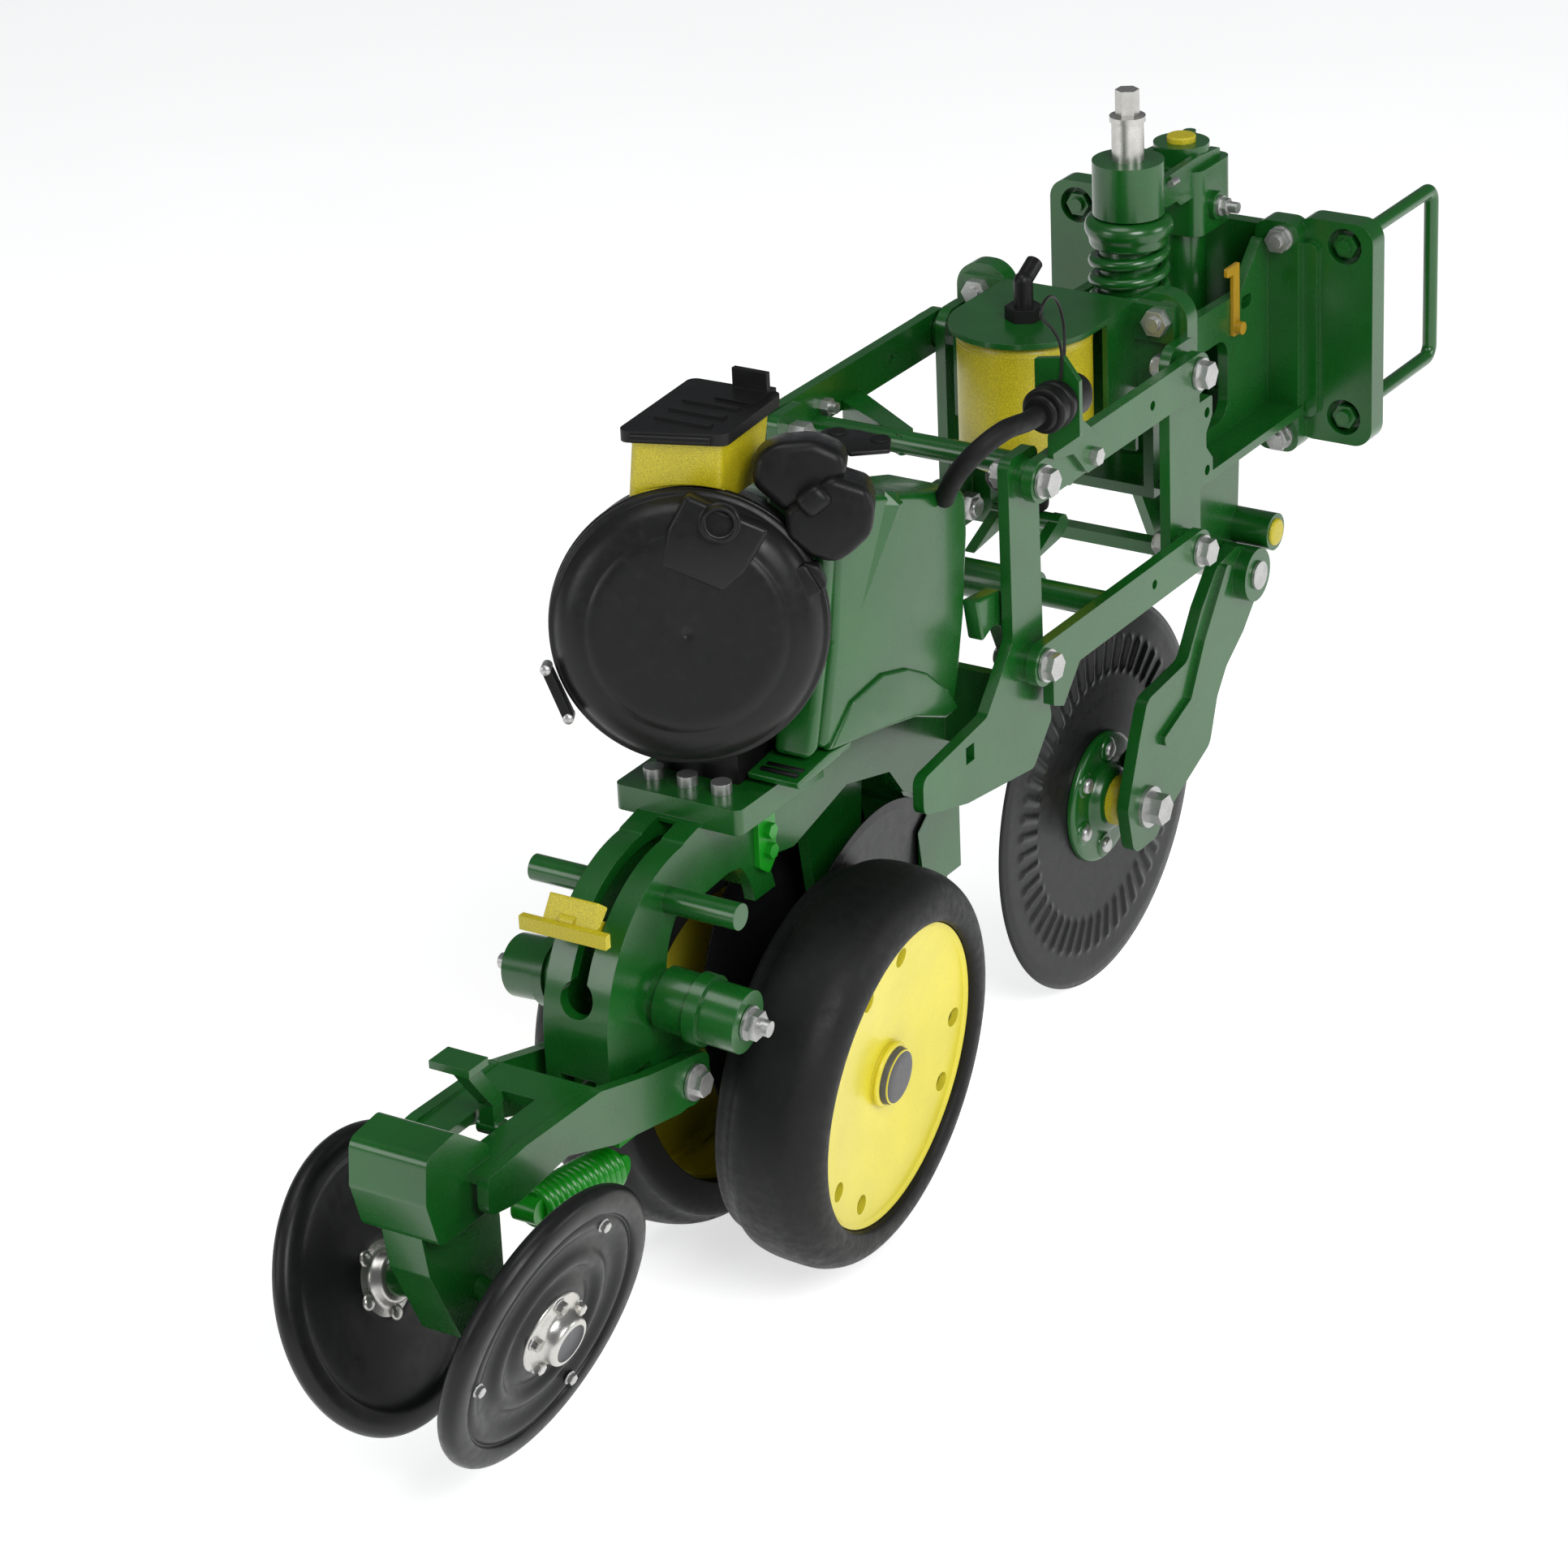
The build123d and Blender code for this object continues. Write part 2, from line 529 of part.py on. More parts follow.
with BuildPart() as gauge_arm:
    # boss on the pin, flat arm inboard of the tyre, then the spindle boss inside the wheel
    disc_on(gauge_plane, 31, 12.4, 98, inner=12.05)
    # the web runs inboard of the tyre, then steps out through the hollow of the wheel
    reach = (hub_local.X ** 2 + hub_local.Y ** 2) ** 0.5
    along = Vector(hub_local.X / reach, hub_local.Y / reach)
    for t0, t1, low, high in ((0, 196, 26, 34), (166, reach, 43, 55), (166, 196, 26, 55)):
        with BuildSketch(gauge_plane.offset(low), mode=Mode.PRIVATE) as web:
            with BuildLine() as leg:
                Line((along.X * t0, along.Y * t0), (along.X * t1, along.Y * t1))
            trace(leg.line, line_width=44)
            if t0 == 0:
                Circle(31)
                Circle(12.05, mode=Mode.SUBTRACT)
        extrude(web.sketch, amount=high - low)
    disc_on(hub_plane, 26, HUB_FLOOR, -16)
    disc_on(hub_plane, 12, HUB_FLOOR, 30)
    disc_on(gauge_plane, 35, 46, 60, inner=12.05)
save_pair(gauge_arm.part, "gauge_arm")

half = GAUGE_W / 2
TYRE_SECTION = [(152, -half), (186, -half), (190, -half + 16), (GAUGE_R - 3, -half + 26),
                (GAUGE_R, 10), (GAUGE_R - 6, half - 22), (DISH_R + 10, half),
                (DISH_R - 8, half - 4), (DISH_R - 8, half - 20), (152, half - 34)]
with BuildPart() as gauge_tyre:
    # smooth closed tyre with a narrow inner lip
    with BuildSketch(Plane(origin=GAUGE_HUB, x_dir=hub_plane.x_dir, z_dir=-hub_plane.y_dir)):
        with BuildLine():
            FilletPolyline(*TYRE_SECTION, radius=corner_radii(TYRE_SECTION, 12), close=True)
        make_face()
    revolve(axis=Axis(GAUGE_HUB, hub_plane.z_dir))
save_pair(gauge_tyre.part, "gauge_tyre")

with BuildPart() as gauge_dish:
    # pressed wheel face with its hub
    disc_on(hub_plane, 151.9, -40, half - 36, inner=147)
    with BuildSketch(Plane(origin=GAUGE_HUB, x_dir=hub_plane.x_dir, z_dir=-hub_plane.y_dir)):
        with BuildLine():
            Polyline((20, 34), (60, 36), (120, 42), (DISH_R - 14, 44), (DISH_R - 9, 47), (DISH_R - 9, 43),
                     (148, 37), (147, 20), (143, 20), (143, 36), (60, 30), (20, 28), close=True)
        make_face()
    revolve(axis=Axis(GAUGE_HUB, hub_plane.z_dir))
    disc_on(hub_plane, 32, -14, 40, inner=12.05)
    for turn in (90, 120, 330, 360, 216, 246):
        spot = (132 * cos(radians(turn)), 132 * sin(radians(turn)))
        disc_on(hub_plane, 10, 10, 60, mode=Mode.SUBTRACT, at=spot)
    disc_on(hub_plane, 28, 40, 50)
save_pair(gauge_dish.part, "gauge_dish")

with BuildPart() as opener_disc:
    disc_on(disc_plane, DISC_R, -1.75, 1.75, inner=14.2)
    chamfer(opener_disc.edges().filter_by(GeomType.CIRCLE).sort_by(SortBy.LENGTH)[-2:], 1.2, 10)
save_pair(opener_disc.part, "opener_disc")

with BuildPart() as disc_hub:
    disc_on(disc_plane, 14.15, -14, 6)
    disc_on(disc_plane, 22, 2.2, 6)
with BuildPart() as disc_spindles:
    add(disc_hub.part)
    mirror(disc_hub.part, about=Plane.XZ)
save(disc_spindles.part, "disc_spindles")

# ---- coulter ---------------------------------------------------------------------------------
with BuildPart() as coulter_blade:
    rod_y(COULTER_X, COULTER_Z, -2.5, 2.5, COULTER_R)
    chamfer(coulter_blade.edges().filter_by(GeomType.CIRCLE), 1.9, 15)
    FLUTES = 25
    for side in (-1, 1):
        blade_face = Plane(origin=(COULTER_X, side * 2.5, COULTER_Z), x_dir=(1, 0, 0), z_dir=(0, side, 0))
        with BuildSketch(blade_face):
            with PolarLocations(0.735 * COULTER_R, FLUTES):
                with Locations(Location((0, 0, 0), (0, 0, 22))):
                    SlotOverall(0.2 * COULTER_R, 7)
        extrude(amount=2.2)
    rod_y(COULTER_X, COULTER_Z, -9, 9, 20.05, mode=Mode.SUBTRACT)
save(coulter_blade.part, "coulter_blade")

with BuildPart() as coulter_hub:
    for side in (-1, 1):
        with BuildSketch(Plane(origin=(COULTER_X, side * 2.6, COULTER_Z), x_dir=(1, 0, 0), z_dir=(0, side, 0))):
            Circle(73)
        extrude(amount=7)
        with BuildSketch(Plane(origin=(COULTER_X, side * 9.5, COULTER_Z), x_dir=(1, 0, 0), z_dir=(0, side, 0))):
            Circle(38)
        extrude(amount=18, taper=12)
        with BuildSketch(Plane(origin=(COULTER_X, side * 9.6, COULTER_Z), x_dir=(1, 0, 0), z_dir=(0, side, 0))):
            with PolarLocations(54, 6):
                RegularPolygon(7.5, 6, major_radius=False)
        extrude(amount=5)
    rod_y(COULTER_X, COULTER_Z, -26, 26, 20)
    rod_y(COULTER_X, COULTER_Z, -40, 40, 12.05, mode=Mode.SUBTRACT)
    # dust cap on the outer side, round the axle
    rod_y(COULTER_X, COULTER_Z, -40, -27.8, 27)
    rod_y(COULTER_X, COULTER_Z, -42, 42, 12.05, mode=Mode.SUBTRACT)
save(coulter_hub.part, "coulter_hub")

AXLE_END = 62.0
px, pz = COULTER_PIVOT
with BuildPart() as coulter_arm:
    # pivot sleeve under the head, arm plate and cranked lower end
    rod_y(px, pz, -78, -36, 30)
    outline_y([(px - 18, pz + 38), (px + 10, pz + 26), (px + 30, pz - 36), (px - 4, pz - 69),
               (px - 44, pz - 95), (px - 66, pz - 123), (px - 84, pz - 173), (COULTER_X + 34, COULTER_Z - 30),
               (COULTER_X + 20, COULTER_Z - 45), (COULTER_X - 32, COULTER_Z - 45), (COULTER_X - 45, COULTER_Z + 13),
               (COULTER_X - 17, COULTER_Z + 84), (COULTER_X + 2, COULTER_Z + 125), (px - 135, pz - 54),
               (px - 101, pz - 5), (px - 64, pz + 32)], 18, -AXLE_END, -AXLE_END + 14)
    outline_y([(px - 40, pz + 24), (px - 96, pz - 50), (px - 128, pz - 112), (px - 196, pz - 130),
               (px - 200, pz - 118), (px - 138, pz - 96), (px - 106, pz - 40), (px - 52, pz + 30)],
              4, -AXLE_END - 6, -AXLE_END)
    rod_y(px, pz, -80, -30, 12.05, mode=Mode.SUBTRACT)
    rod_y(COULTER_X, COULTER_Z, -AXLE_END, -42, 24)
    rod_y(COULTER_X, COULTER_Z, -AXLE_END, 30, 12)
save(coulter_arm.part, "coulter_arm")

with BuildPart() as coulter_pin:
    rod_y(px, pz, -79, 36, 12)
    rod_y(px, pz, -82, -78.5, 16)
    hex_y(px, pz, 34.4, 46, 30)
save(coulter_pin.part, "coulter_pin")

with BuildPart() as coulter_nuts:
    rod_y(COULTER_X, COULTER_Z, -AXLE_END - 5, -AXLE_END, 23)
    hex_y(COULTER_X, COULTER_Z, -AXLE_END - 22, -AXLE_END - 5, 30)
save(coulter_nuts.part, "coulter_nuts")

# ---- seed meter ------------------------------------------------------------------------------
meter_plane = axis_plane(METER_FACE, METER_AXIS)
with BuildPart() as meter_body:
    disc_on(meter_plane, METER_R - 6, -96, -30)
    block(-1066, -990, -46, 46, -124, -40)
    disc_on(meter_plane, METER_R - 20, -38, -29, mode=Mode.SUBTRACT)
    disc_on(meter_plane, 8.05, -60, -29, mode=Mode.SUBTRACT)
save(meter_body.part, "meter_body")

with BuildPart() as meter_motor:
    with BuildSketch(Plane(origin=(-985, -108, 136), x_dir=(0.82, -0.4, -0.3), z_dir=METER_AXIS)):
        RectangleRounded(120, 84, 20)
    extrude(amount=-60)
    block(-960, -870, -92, -40, 168, 178)
    add(meter_body.part, mode=Mode.SUBTRACT)
    disc_on(meter_plane, METER_R + 4, -32, 40, mode=Mode.SUBTRACT)
save(meter_motor.part, "meter_motor")

with BuildPart() as seed_disc:
    disc_on(meter_plane, METER_R - 24, -37.4, -34)
    disc_on(meter_plane, 8, -56, -30)
    with BuildSketch(meter_plane.offset(-40)):
        with PolarLocations(96, 30):
            Circle(2.5)
    extrude(amount=12, mode=Mode.SUBTRACT)
save(seed_disc.part, "seed_disc")

PORT_AT = (34, 104)           # vacuum port in the meter's own plane
with BuildPart() as meter_cover:
    # dished vacuum cover with a raised face and a port boss
    with BuildSketch(meter_plane.offset(-29.6)):
        Circle(METER_R)
    extrude(amount=8)
    with BuildSketch(meter_plane.offset(-21.6)):
        Circle(METER_R - 2)
    extrude(amount=24, taper=30)
    disc_on(meter_plane, METER_R - 22, -30, -24, mode=Mode.SUBTRACT)
    with BuildSketch(meter_plane.offset(-18)):
        with Locations(Location((32, 92, 0), (0, 0, -25))):
            RectangleRounded(92, 76, 8)
    extrude(amount=24)
    disc_on(meter_plane, 17, 6, 16, at=PORT_AT)
    disc_on(meter_plane, 13.5, -2, 20, mode=Mode.SUBTRACT, at=PORT_AT)
save(meter_cover.part, "meter_cover")

with BuildPart() as cover_clips:
    for turn, w in ((25, 40), (205, 30)):
        with BuildSketch(meter_plane.offset(-44)):
            with Locations(Location((140 * cos(radians(turn)), 140 * sin(radians(turn)), 0), (0, 0, turn))):
                RectangleRounded(22, w, 4)
        extrude(amount=38)
    with BuildSketch(meter_plane.offset(-60)):
        Circle(METER_R + 0.5)
    extrude(amount=80, mode=Mode.SUBTRACT)
save(cover_clips.part, "cover_clips")

LID_CORNERS = [(-1098, 49), (-1063, -49), (-948, -38), (-951, 61)]
with BuildPart() as mini_hopper:
    # four-sided bin, its front face parallel to the meter
    for z, corners in ((150, [(-1088, 52), (-1052, -30), (-966, -26), (-966, 50)]),
                       (216, [(-1089, 42), (-1058, -40), (-956, -30), (-958, 53)])):
        with BuildSketch(Plane.XY.offset(z)):
            with BuildLine():
                FilletPolyline(*corners, radius=8, close=True)
            make_face()
    loft()
    disc_on(meter_plane, METER_R + 3, -33, 60, mode=Mode.SUBTRACT)
    add(meter_body.part, mode=Mode.SUBTRACT)
    add(meter_motor.part, mode=Mode.SUBTRACT)
save(mini_hopper.part, "mini_hopper")

with BuildPart() as hopper_lid:
    outline_z(LID_CORNERS, 9, 216.4, 228)
    # hinge barrel along the front edge, ribs and the finger tab at the back
    front, corner = Vector(*LID_CORNERS[0], 221), Vector(*LID_CORNERS[1], 221)
    hinge_dir = (corner - front).normalized()
    with BuildSketch(Plane(origin=front + hinge_dir * 14, z_dir=hinge_dir)):
        Circle(4.4)
    extrude(amount=76)
    for x in (-1052, -1028, -1004):
        block(x - 4, x + 4, -26, 34, 228, 230)
    block(-992, -946, -30, 8, 226, 231)
    block(-962, -956, -30, 8, 226, 250)
save(hopper_lid.part, "hopper_lid")

with BuildPart() as meter_shroud:
    outline_y([(-968, 150), (-820, 124), (-724, 70), (-724, -60), (-780, -112), (-940, -132), (-966, -112)],
              18, -108, 108)
    outline_y([(-954, 120), (-830, 110), (-740, 56), (-740, -52), (-786, -100), (-954, -118)],
              10, -96, 96, mode=Mode.SUBTRACT)
    for k in range(5):
        block(-960 + 16 * k, -952 + 16 * k, -100, -60, -160, -120, mode=Mode.SUBTRACT)
    disc_on(meter_plane, METER_R + 3, -120, 60, mode=Mode.SUBTRACT)
    add(meter_motor.part, mode=Mode.SUBTRACT)
    outline_y([(-772, -2), (-722, -12), (-714, -72), (-756, -84)], 6, -124, -100)

# hose from the arm connector into the shroud
HOSE_R = 10.0
HOSE = [(-706, -172, 144), (-728, -172, 144), (-750, -173, 149), (-770, -170, 150), (-795, -159, 139), (-804, -141, 117),
        (-796, -124, 94), (-782, -110, 74)]
with BuildPart() as feed_hose:
    with BuildLine() as hose_path:
        points = [Vector(p) for p in HOSE]
        bends = []
        for a, b, c in zip(points, points[1:], points[2:]):
            turn = radians((b - a).get_angle(c - b))
            bends.append(0.45 * min((b - a).length, (c - b).length) / (sin(turn / 2) / cos(turn / 2)))
        FilletPolyline(*points, radius=bends)
    with BuildSketch(Plane(origin=points[0], z_dir=points[1] - points[0])):
        Circle(HOSE_R)
    sweep()
save(feed_hose.part, "feed_hose")
save(meter_shroud.part - feed_hose.part, "meter_shroud")
print("hose radii", [round(b, 1) for b in bends])

# ---- depth adjustment, closing frame and closing wheels ---------------------------------------
with BuildPart() as depth_handle:
    outline_y([(-1296, -184), (-1276, -184), (-1262, -170), (-1278, -158)], 2, -26, 26)
    block(-1300, -1292, -48, 48, -192, -178)
    bar_y((-1233, -210), (-1288, -178), 6, -8, 8)
save(depth_handle.part, "depth_handle")

with BuildPart() as link_block:
    block(-1278, -1160, -34, 34, -412, -395.1)
save(link_block.part, "link_block")

cx, cz = CLOSE_PIVOT
with BuildPart() as closing_frame:
    for s in (-1, 1):
        outline_y([(cx + 28, cz + 20), (cx + 8, cz + 26), (cx - 73, cz + 42), (cx - 152, cz + 63),
                   (cx - 270, cz + 66), (cx - 332, cz + 60), (cx - 334, cz + 24), (cx - 287, cz + 16),
                   (cx - 208, cz + 24), (cx - 132, cz - 2), (cx - 23, cz - 22), (cx + 24, cz - 20)],
                  12, s * 52, s * 64)
        rod_y(cx, cz, s * 51, s * 64, 24)
        rod_y(cx, cz, s * 50, s * 66, 10.3, mode=Mode.SUBTRACT)
    block(cx - 330, cx - 146, -64, 64, cz + 52, cz + 62)
    block(cx - 290, cx - 190, -18, 18, cz + 40, cz + 66, mode=Mode.SUBTRACT)
    # head box at the tail, with the leg that carries both axles
    outline_y([(cx - 395, cz + 60), (cx - 390, cz + 104), (cx - 345, cz + 110), (cx - 296, cz + 74),
               (cx - 296, cz + 10), (cx - 380, cz + 10)], 12, -42, 42)
    outline_y([(cx - 384, cz + 40), (cx - 290, cz + 40), (cx - 262, cz - 20), (cx - 262, cz - 118),
               (cx - 330, cz - 118), (cx - 372, cz - 30)], 10, -22, 22)
save(closing_frame.part, "closing_frame")

with BuildPart() as closing_pins:
    for s in (-1, 1):
        rod_y(cx, cz, s * HALF_BEAM, s * 66, 10)
        rod_y(cx, cz, s * 64.5, s * 68, 18)
        hex_y(cx, cz, s * 68, s * 78, 22)
    for y in (-40, -2, 36):
        rod_z(-1086, y, -124, -113, 10)
save(closing_pins.part, "frame_bolts")

closing_plane = axis_plane(CLOSE_HUB, CLOSE_AXIS)
with BuildPart() as closing_axle:
    disc_on(closing_plane, 11.95, -74, 26)
    disc_on(closing_plane, 18, -50, -14)
with BuildPart() as closing_axles:
    add(closing_axle.part)
    mirror(closing_axle.part, about=Plane.XZ)
    block(cx - 400, cx - 200, -22, 22, cz - 160, cz, mode=Mode.SUBTRACT)
save(closing_axles.part, "closing_axles")

with BuildPart() as closing_wheel:
    # rubber rim, pressed web with ring beads, then the hub and its five bolts
    disc_on(closing_plane, CLOSE_R, -CLOSE_W / 2, CLOSE_W / 2, inner=CLOSE_R - 26)
    fillet(closing_wheel.edges().filter_by(GeomType.CIRCLE).sort_by(SortBy.LENGTH)[-2:], 9)
    disc_on(closing_plane, CLOSE_R - 25, -4, 4)
    disc_on(closing_plane, CLOSE_R - 46, 4, 9, inner=CLOSE_R - 62)
    disc_on(closing_plane, 70, 4, 9, inner=52)
    disc_on(closing_plane, 40, 4, 9)
    disc_on(closing_plane, 26, 9, 30)
    for k in range(5):
        turn = radians(72 * k + 20)
        hex_on(closing_plane, 11, 9, 16, at=(33 * cos(turn), 33 * sin(turn)))
    disc_on(closing_plane, 12.02, -30, 26.5, mode=Mode.SUBTRACT)
save_pair(closing_wheel.part, "closing_wheel")

with BuildPart() as down_spring:
    RINGS = 14
    for k in range(RINGS):
        with Locations(Location((cx - 60 - 9 * k, 0, cz - 80 + 1.4 * k), (0, 90, 0))):
            Torus(17, 5.2)
    bar_y((cx - 52, cz - 81), (cx - 186, cz - 60), 13, -13, 13)
save(down_spring.part, "down_spring")

with BuildPart() as down_lever:
    # cranked T lever on a barrel in the slot of the top plate
    rod_y(cx - 234, cz + 52, -12, 12, 9)
    outline_y([(cx - 242, cz + 50), (cx - 226, cz + 50), (cx - 226, cz + 82), (cx - 252, cz + 116),
               (cx - 268, cz + 140), (cx - 284, cz + 134), (cx - 264, cz + 106), (cx - 242, cz + 78)], 5, -8, 8)
    block(cx - 292, cx - 262, -22, 22, cz + 133, cz + 141)
save(down_lever.part, "down_lever")

with BuildPart() as scraper_tabs:
    outline_y([(-1030, -176), (-1000, -176), (-1000, -226), (-1014, -240), (-1030, -228)], 5, -42, -HALF_BEAM)
    for z in (-194, -215):
        hex_y(-1014, z, -49, -42, 14)
    mirror(scraper_tabs.part, about=Plane.XZ)
save(scraper_tabs.part, "scraper_tabs")
print(len(os.listdir("parts")), "files")
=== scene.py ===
import json
from math import cos, sin, pi, radians
import bmesh
import bpy
from mathutils import Matrix, Vector


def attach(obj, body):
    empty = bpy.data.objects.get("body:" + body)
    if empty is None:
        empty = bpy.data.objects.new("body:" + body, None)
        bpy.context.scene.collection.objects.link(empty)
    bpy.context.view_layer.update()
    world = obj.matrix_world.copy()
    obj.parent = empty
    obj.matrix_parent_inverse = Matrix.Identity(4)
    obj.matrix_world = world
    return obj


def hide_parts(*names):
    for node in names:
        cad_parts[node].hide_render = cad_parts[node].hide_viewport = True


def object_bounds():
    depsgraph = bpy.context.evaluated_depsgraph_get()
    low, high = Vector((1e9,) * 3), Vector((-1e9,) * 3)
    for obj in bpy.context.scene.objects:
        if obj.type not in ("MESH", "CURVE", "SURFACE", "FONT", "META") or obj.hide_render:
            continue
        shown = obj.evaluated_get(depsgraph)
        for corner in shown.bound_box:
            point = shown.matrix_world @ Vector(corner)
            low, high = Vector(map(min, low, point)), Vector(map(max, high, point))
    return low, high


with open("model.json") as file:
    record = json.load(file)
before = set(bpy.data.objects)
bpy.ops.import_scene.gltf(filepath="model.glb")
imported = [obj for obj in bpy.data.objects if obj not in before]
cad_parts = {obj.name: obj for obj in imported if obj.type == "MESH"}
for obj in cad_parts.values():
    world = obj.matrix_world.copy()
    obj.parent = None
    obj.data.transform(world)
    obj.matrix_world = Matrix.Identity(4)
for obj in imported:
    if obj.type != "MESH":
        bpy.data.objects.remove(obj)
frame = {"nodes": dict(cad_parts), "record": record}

CAD_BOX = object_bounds()
SCENE = bpy.context.scene


# ---- camera -----------------------------------------------------------------------------------
def make_camera():
    """The camera at the angle that the part is shown at."""
    data = bpy.data.cameras.new("camera")
    data.lens = 117.36
    data.sensor_width = 36.0
    data.clip_start = 0.1
    data.clip_end = 60.0
    cam = bpy.data.objects.new("camera", data)
    SCENE.collection.objects.link(cam)
    right = Vector((0.52918469, -0.84751509, -0.04100905))
    up = Vector((0.38074825, 0.19399044, 0.90410092))
    back = Vector((-0.75828381, -0.49405049, 0.42534666))
    cam.matrix_world = Matrix((
        (right.x, up.x, back.x, -4.68485),
        (right.y, up.y, back.y, -2.45479),
        (right.z, up.z, back.z, 1.91807),
        (0, 0, 0, 1)))
    SCENE.camera = cam


make_camera()


# ---- materials --------------------------------------------------------------------------------
class Nodes:
    """Small helper to build one node material."""

    def __init__(self, name):
        self.mat = bpy.data.materials.new(name)
        self.mat.use_nodes = True
        self.tree = self.mat.node_tree
        self.shader = self.tree.nodes["Principled BSDF"]
        self.coord = self.add("ShaderNodeTexCoord").outputs["Object"]

    def add(self, kind, **values):
        node = self.tree.nodes.new(kind)
        for key, value in values.items():
            setattr(node, key, value)
        return node

    def link(self, a, b):
        self.tree.links.new(a, b)

    def noise(self, scale, detail=3.0, rough=0.55, coord=None):
        node = self.add("ShaderNodeTexNoise")
        node.inputs["Scale"].default_value = scale
        node.inputs["Detail"].default_value = detail
        node.inputs["Roughness"].default_value = rough
        self.link(coord or self.coord, node.inputs["Vector"])
        return node.outputs["Fac"]

    def ramp(self, value, stops):
        node = self.add("ShaderNodeValToRGB")
        while len(node.color_ramp.elements) < len(stops):
            node.color_ramp.elements.new(0.5)
        for element, (place, colour) in zip(node.color_ramp.elements, stops):
            element.position = place
            element.color = (*colour, 1.0)
        self.link(value, node.inputs["Fac"])
        return node.outputs["Color"]

    def spread(self, value, low, high, start=0.3, end=0.7):
        node = self.add("ShaderNodeMapRange")
        node.inputs["From Min"].default_value = start
        node.inputs["From Max"].default_value = end
        node.inputs["To Min"].default_value = low
        node.inputs["To Max"].default_value = high
        self.link(value, node.inputs["Value"])
        return node.outputs["Result"]

    def mix(self, factor, a, b):
        node = self.add("ShaderNodeMix", data_type="RGBA")
        for socket, value in ((node.inputs[0], factor), (node.inputs[6], a), (node.inputs[7], b)):
            if isinstance(value, (float, int)):
                socket.default_value = value
            elif isinstance(value, tuple):
                socket.default_value = (*value, 1.0)
            else:
                self.link(value, socket)
        return node.outputs[2]

    def bumps(self, layers, edge=0.0):
        """Stacks bump layers (height socket, strength, distance), over rounded edges."""
        normal = None
        if edge:
            bevel = self.add("ShaderNodeBevel", samples=4)
            bevel.inputs["Radius"].default_value = edge
            normal = bevel.outputs["Normal"]
        for height, strength, distance in layers:
            bump = self.add("ShaderNodeBump")
            bump.inputs["Strength"].default_value = strength
            bump.inputs["Distance"].default_value = distance
            self.link(height, bump.inputs["Height"])
            if normal:
                self.link(normal, bump.inputs["Normal"])
            normal = bump.outputs["Normal"]
        if normal:
            self.link(normal, self.shader.inputs["Normal"])

    def set(self, **values):
        for key, value in values.items():
            self.shader.inputs[key.replace("_", " ")].default_value = value


def shade(colour, factor):
    return tuple(min(1.0, c * factor) for c in colour)


def paint(name, colour, rough=0.3, coat=0.25, grain=0.0, edge=0.0009):
    """Glossy paint over castings and plate: slow tone drift, orange peel and rounded edges."""
    n = Nodes(name)
    drift = n.noise(9.0, 4.0)
    base = n.ramp(drift, [(0.30, shade(colour, 0.80)), (0.55, colour), (0.75, shade(colour, 1.18))])
    fleck = n.noise(900.0, 2.0)
    if grain:
        dark = n.ramp(fleck, [(0.40, shade(colour, 1.0 - grain)), (0.52, colour),
                              (0.62, shade(colour, 1.0 + grain))])
        base = n.mix(0.55, base, dark)
    n.link(base, n.shader.inputs["Base Color"])
    n.link(n.spread(n.noise(38.0, 5.0), rough * 0.92, rough * 1.10), n.shader.inputs["Roughness"])
    n.set(Coat_Weight=coat, Coat_Roughness=0.12, Specular_IOR_Level=0.5)
    n.bumps([(n.noise(220.0, 2.0), 0.04, 0.0005), (fleck, 0.03 + grain * 0.25, 0.0003)], edge)
    return n.mat


def zinc(name, colour=(0.50, 0.50, 0.49), rough=0.34, grain=0.25, edge=0.0006):
    """Bright zinc plate with a fine crystalline grain and duller patches."""
    n = Nodes(name)
    grainy = n.noise(1400.0, 2.0)
    patch = n.noise(60.0, 4.0)
    base = n.ramp(grainy, [(0.38, shade(colour, 1 - grain)), (0.5, colour), (0.62, shade(colour, 1 + grain))])
    base = n.mix(n.spread(patch, 0.0, 0.5), base, shade(colour, 0.8))
    n.link(base, n.shader.inputs["Base Color"])
    n.link(n.spread(patch, rough * 0.8, rough * 1.3), n.shader.inputs["Roughness"])
    n.set(Metallic=0.85)
    n.bumps([(grainy, 0.18, 0.0003)], edge)
    return n.mat


def moulded(name, colour, rough=0.42, texture=0.12, edge=0.0009):
    """Moulded black plastic or rubber: fine leathery skin, faint dust and scuffs."""
    n = Nodes(name)
    skin = n.noise(700.0, 3.0)
    cloud = n.noise(12.0, 5.0)
    scuff = n.noise(90.0, 6.0, 0.7)
    base = n.ramp(cloud, [(0.3, shade(colour, 0.8)), (0.6, colour), (0.8, shade(colour, 1.35))])
    base = n.mix(n.spread(scuff, 0.0, 0.18, 0.55, 0.8), base, shade(colour, 3.0))
    n.link(base, n.shader.inputs["Base Color"])
    n.link(n.spread(scuff, rough * 0.8, rough * 1.3), n.shader.inputs["Roughness"])
    n.set(Specular_IOR_Level=0.22)
    n.bumps([(skin, texture, 0.0004), (cloud, 0.05, 0.002)], edge)
    return n.mat


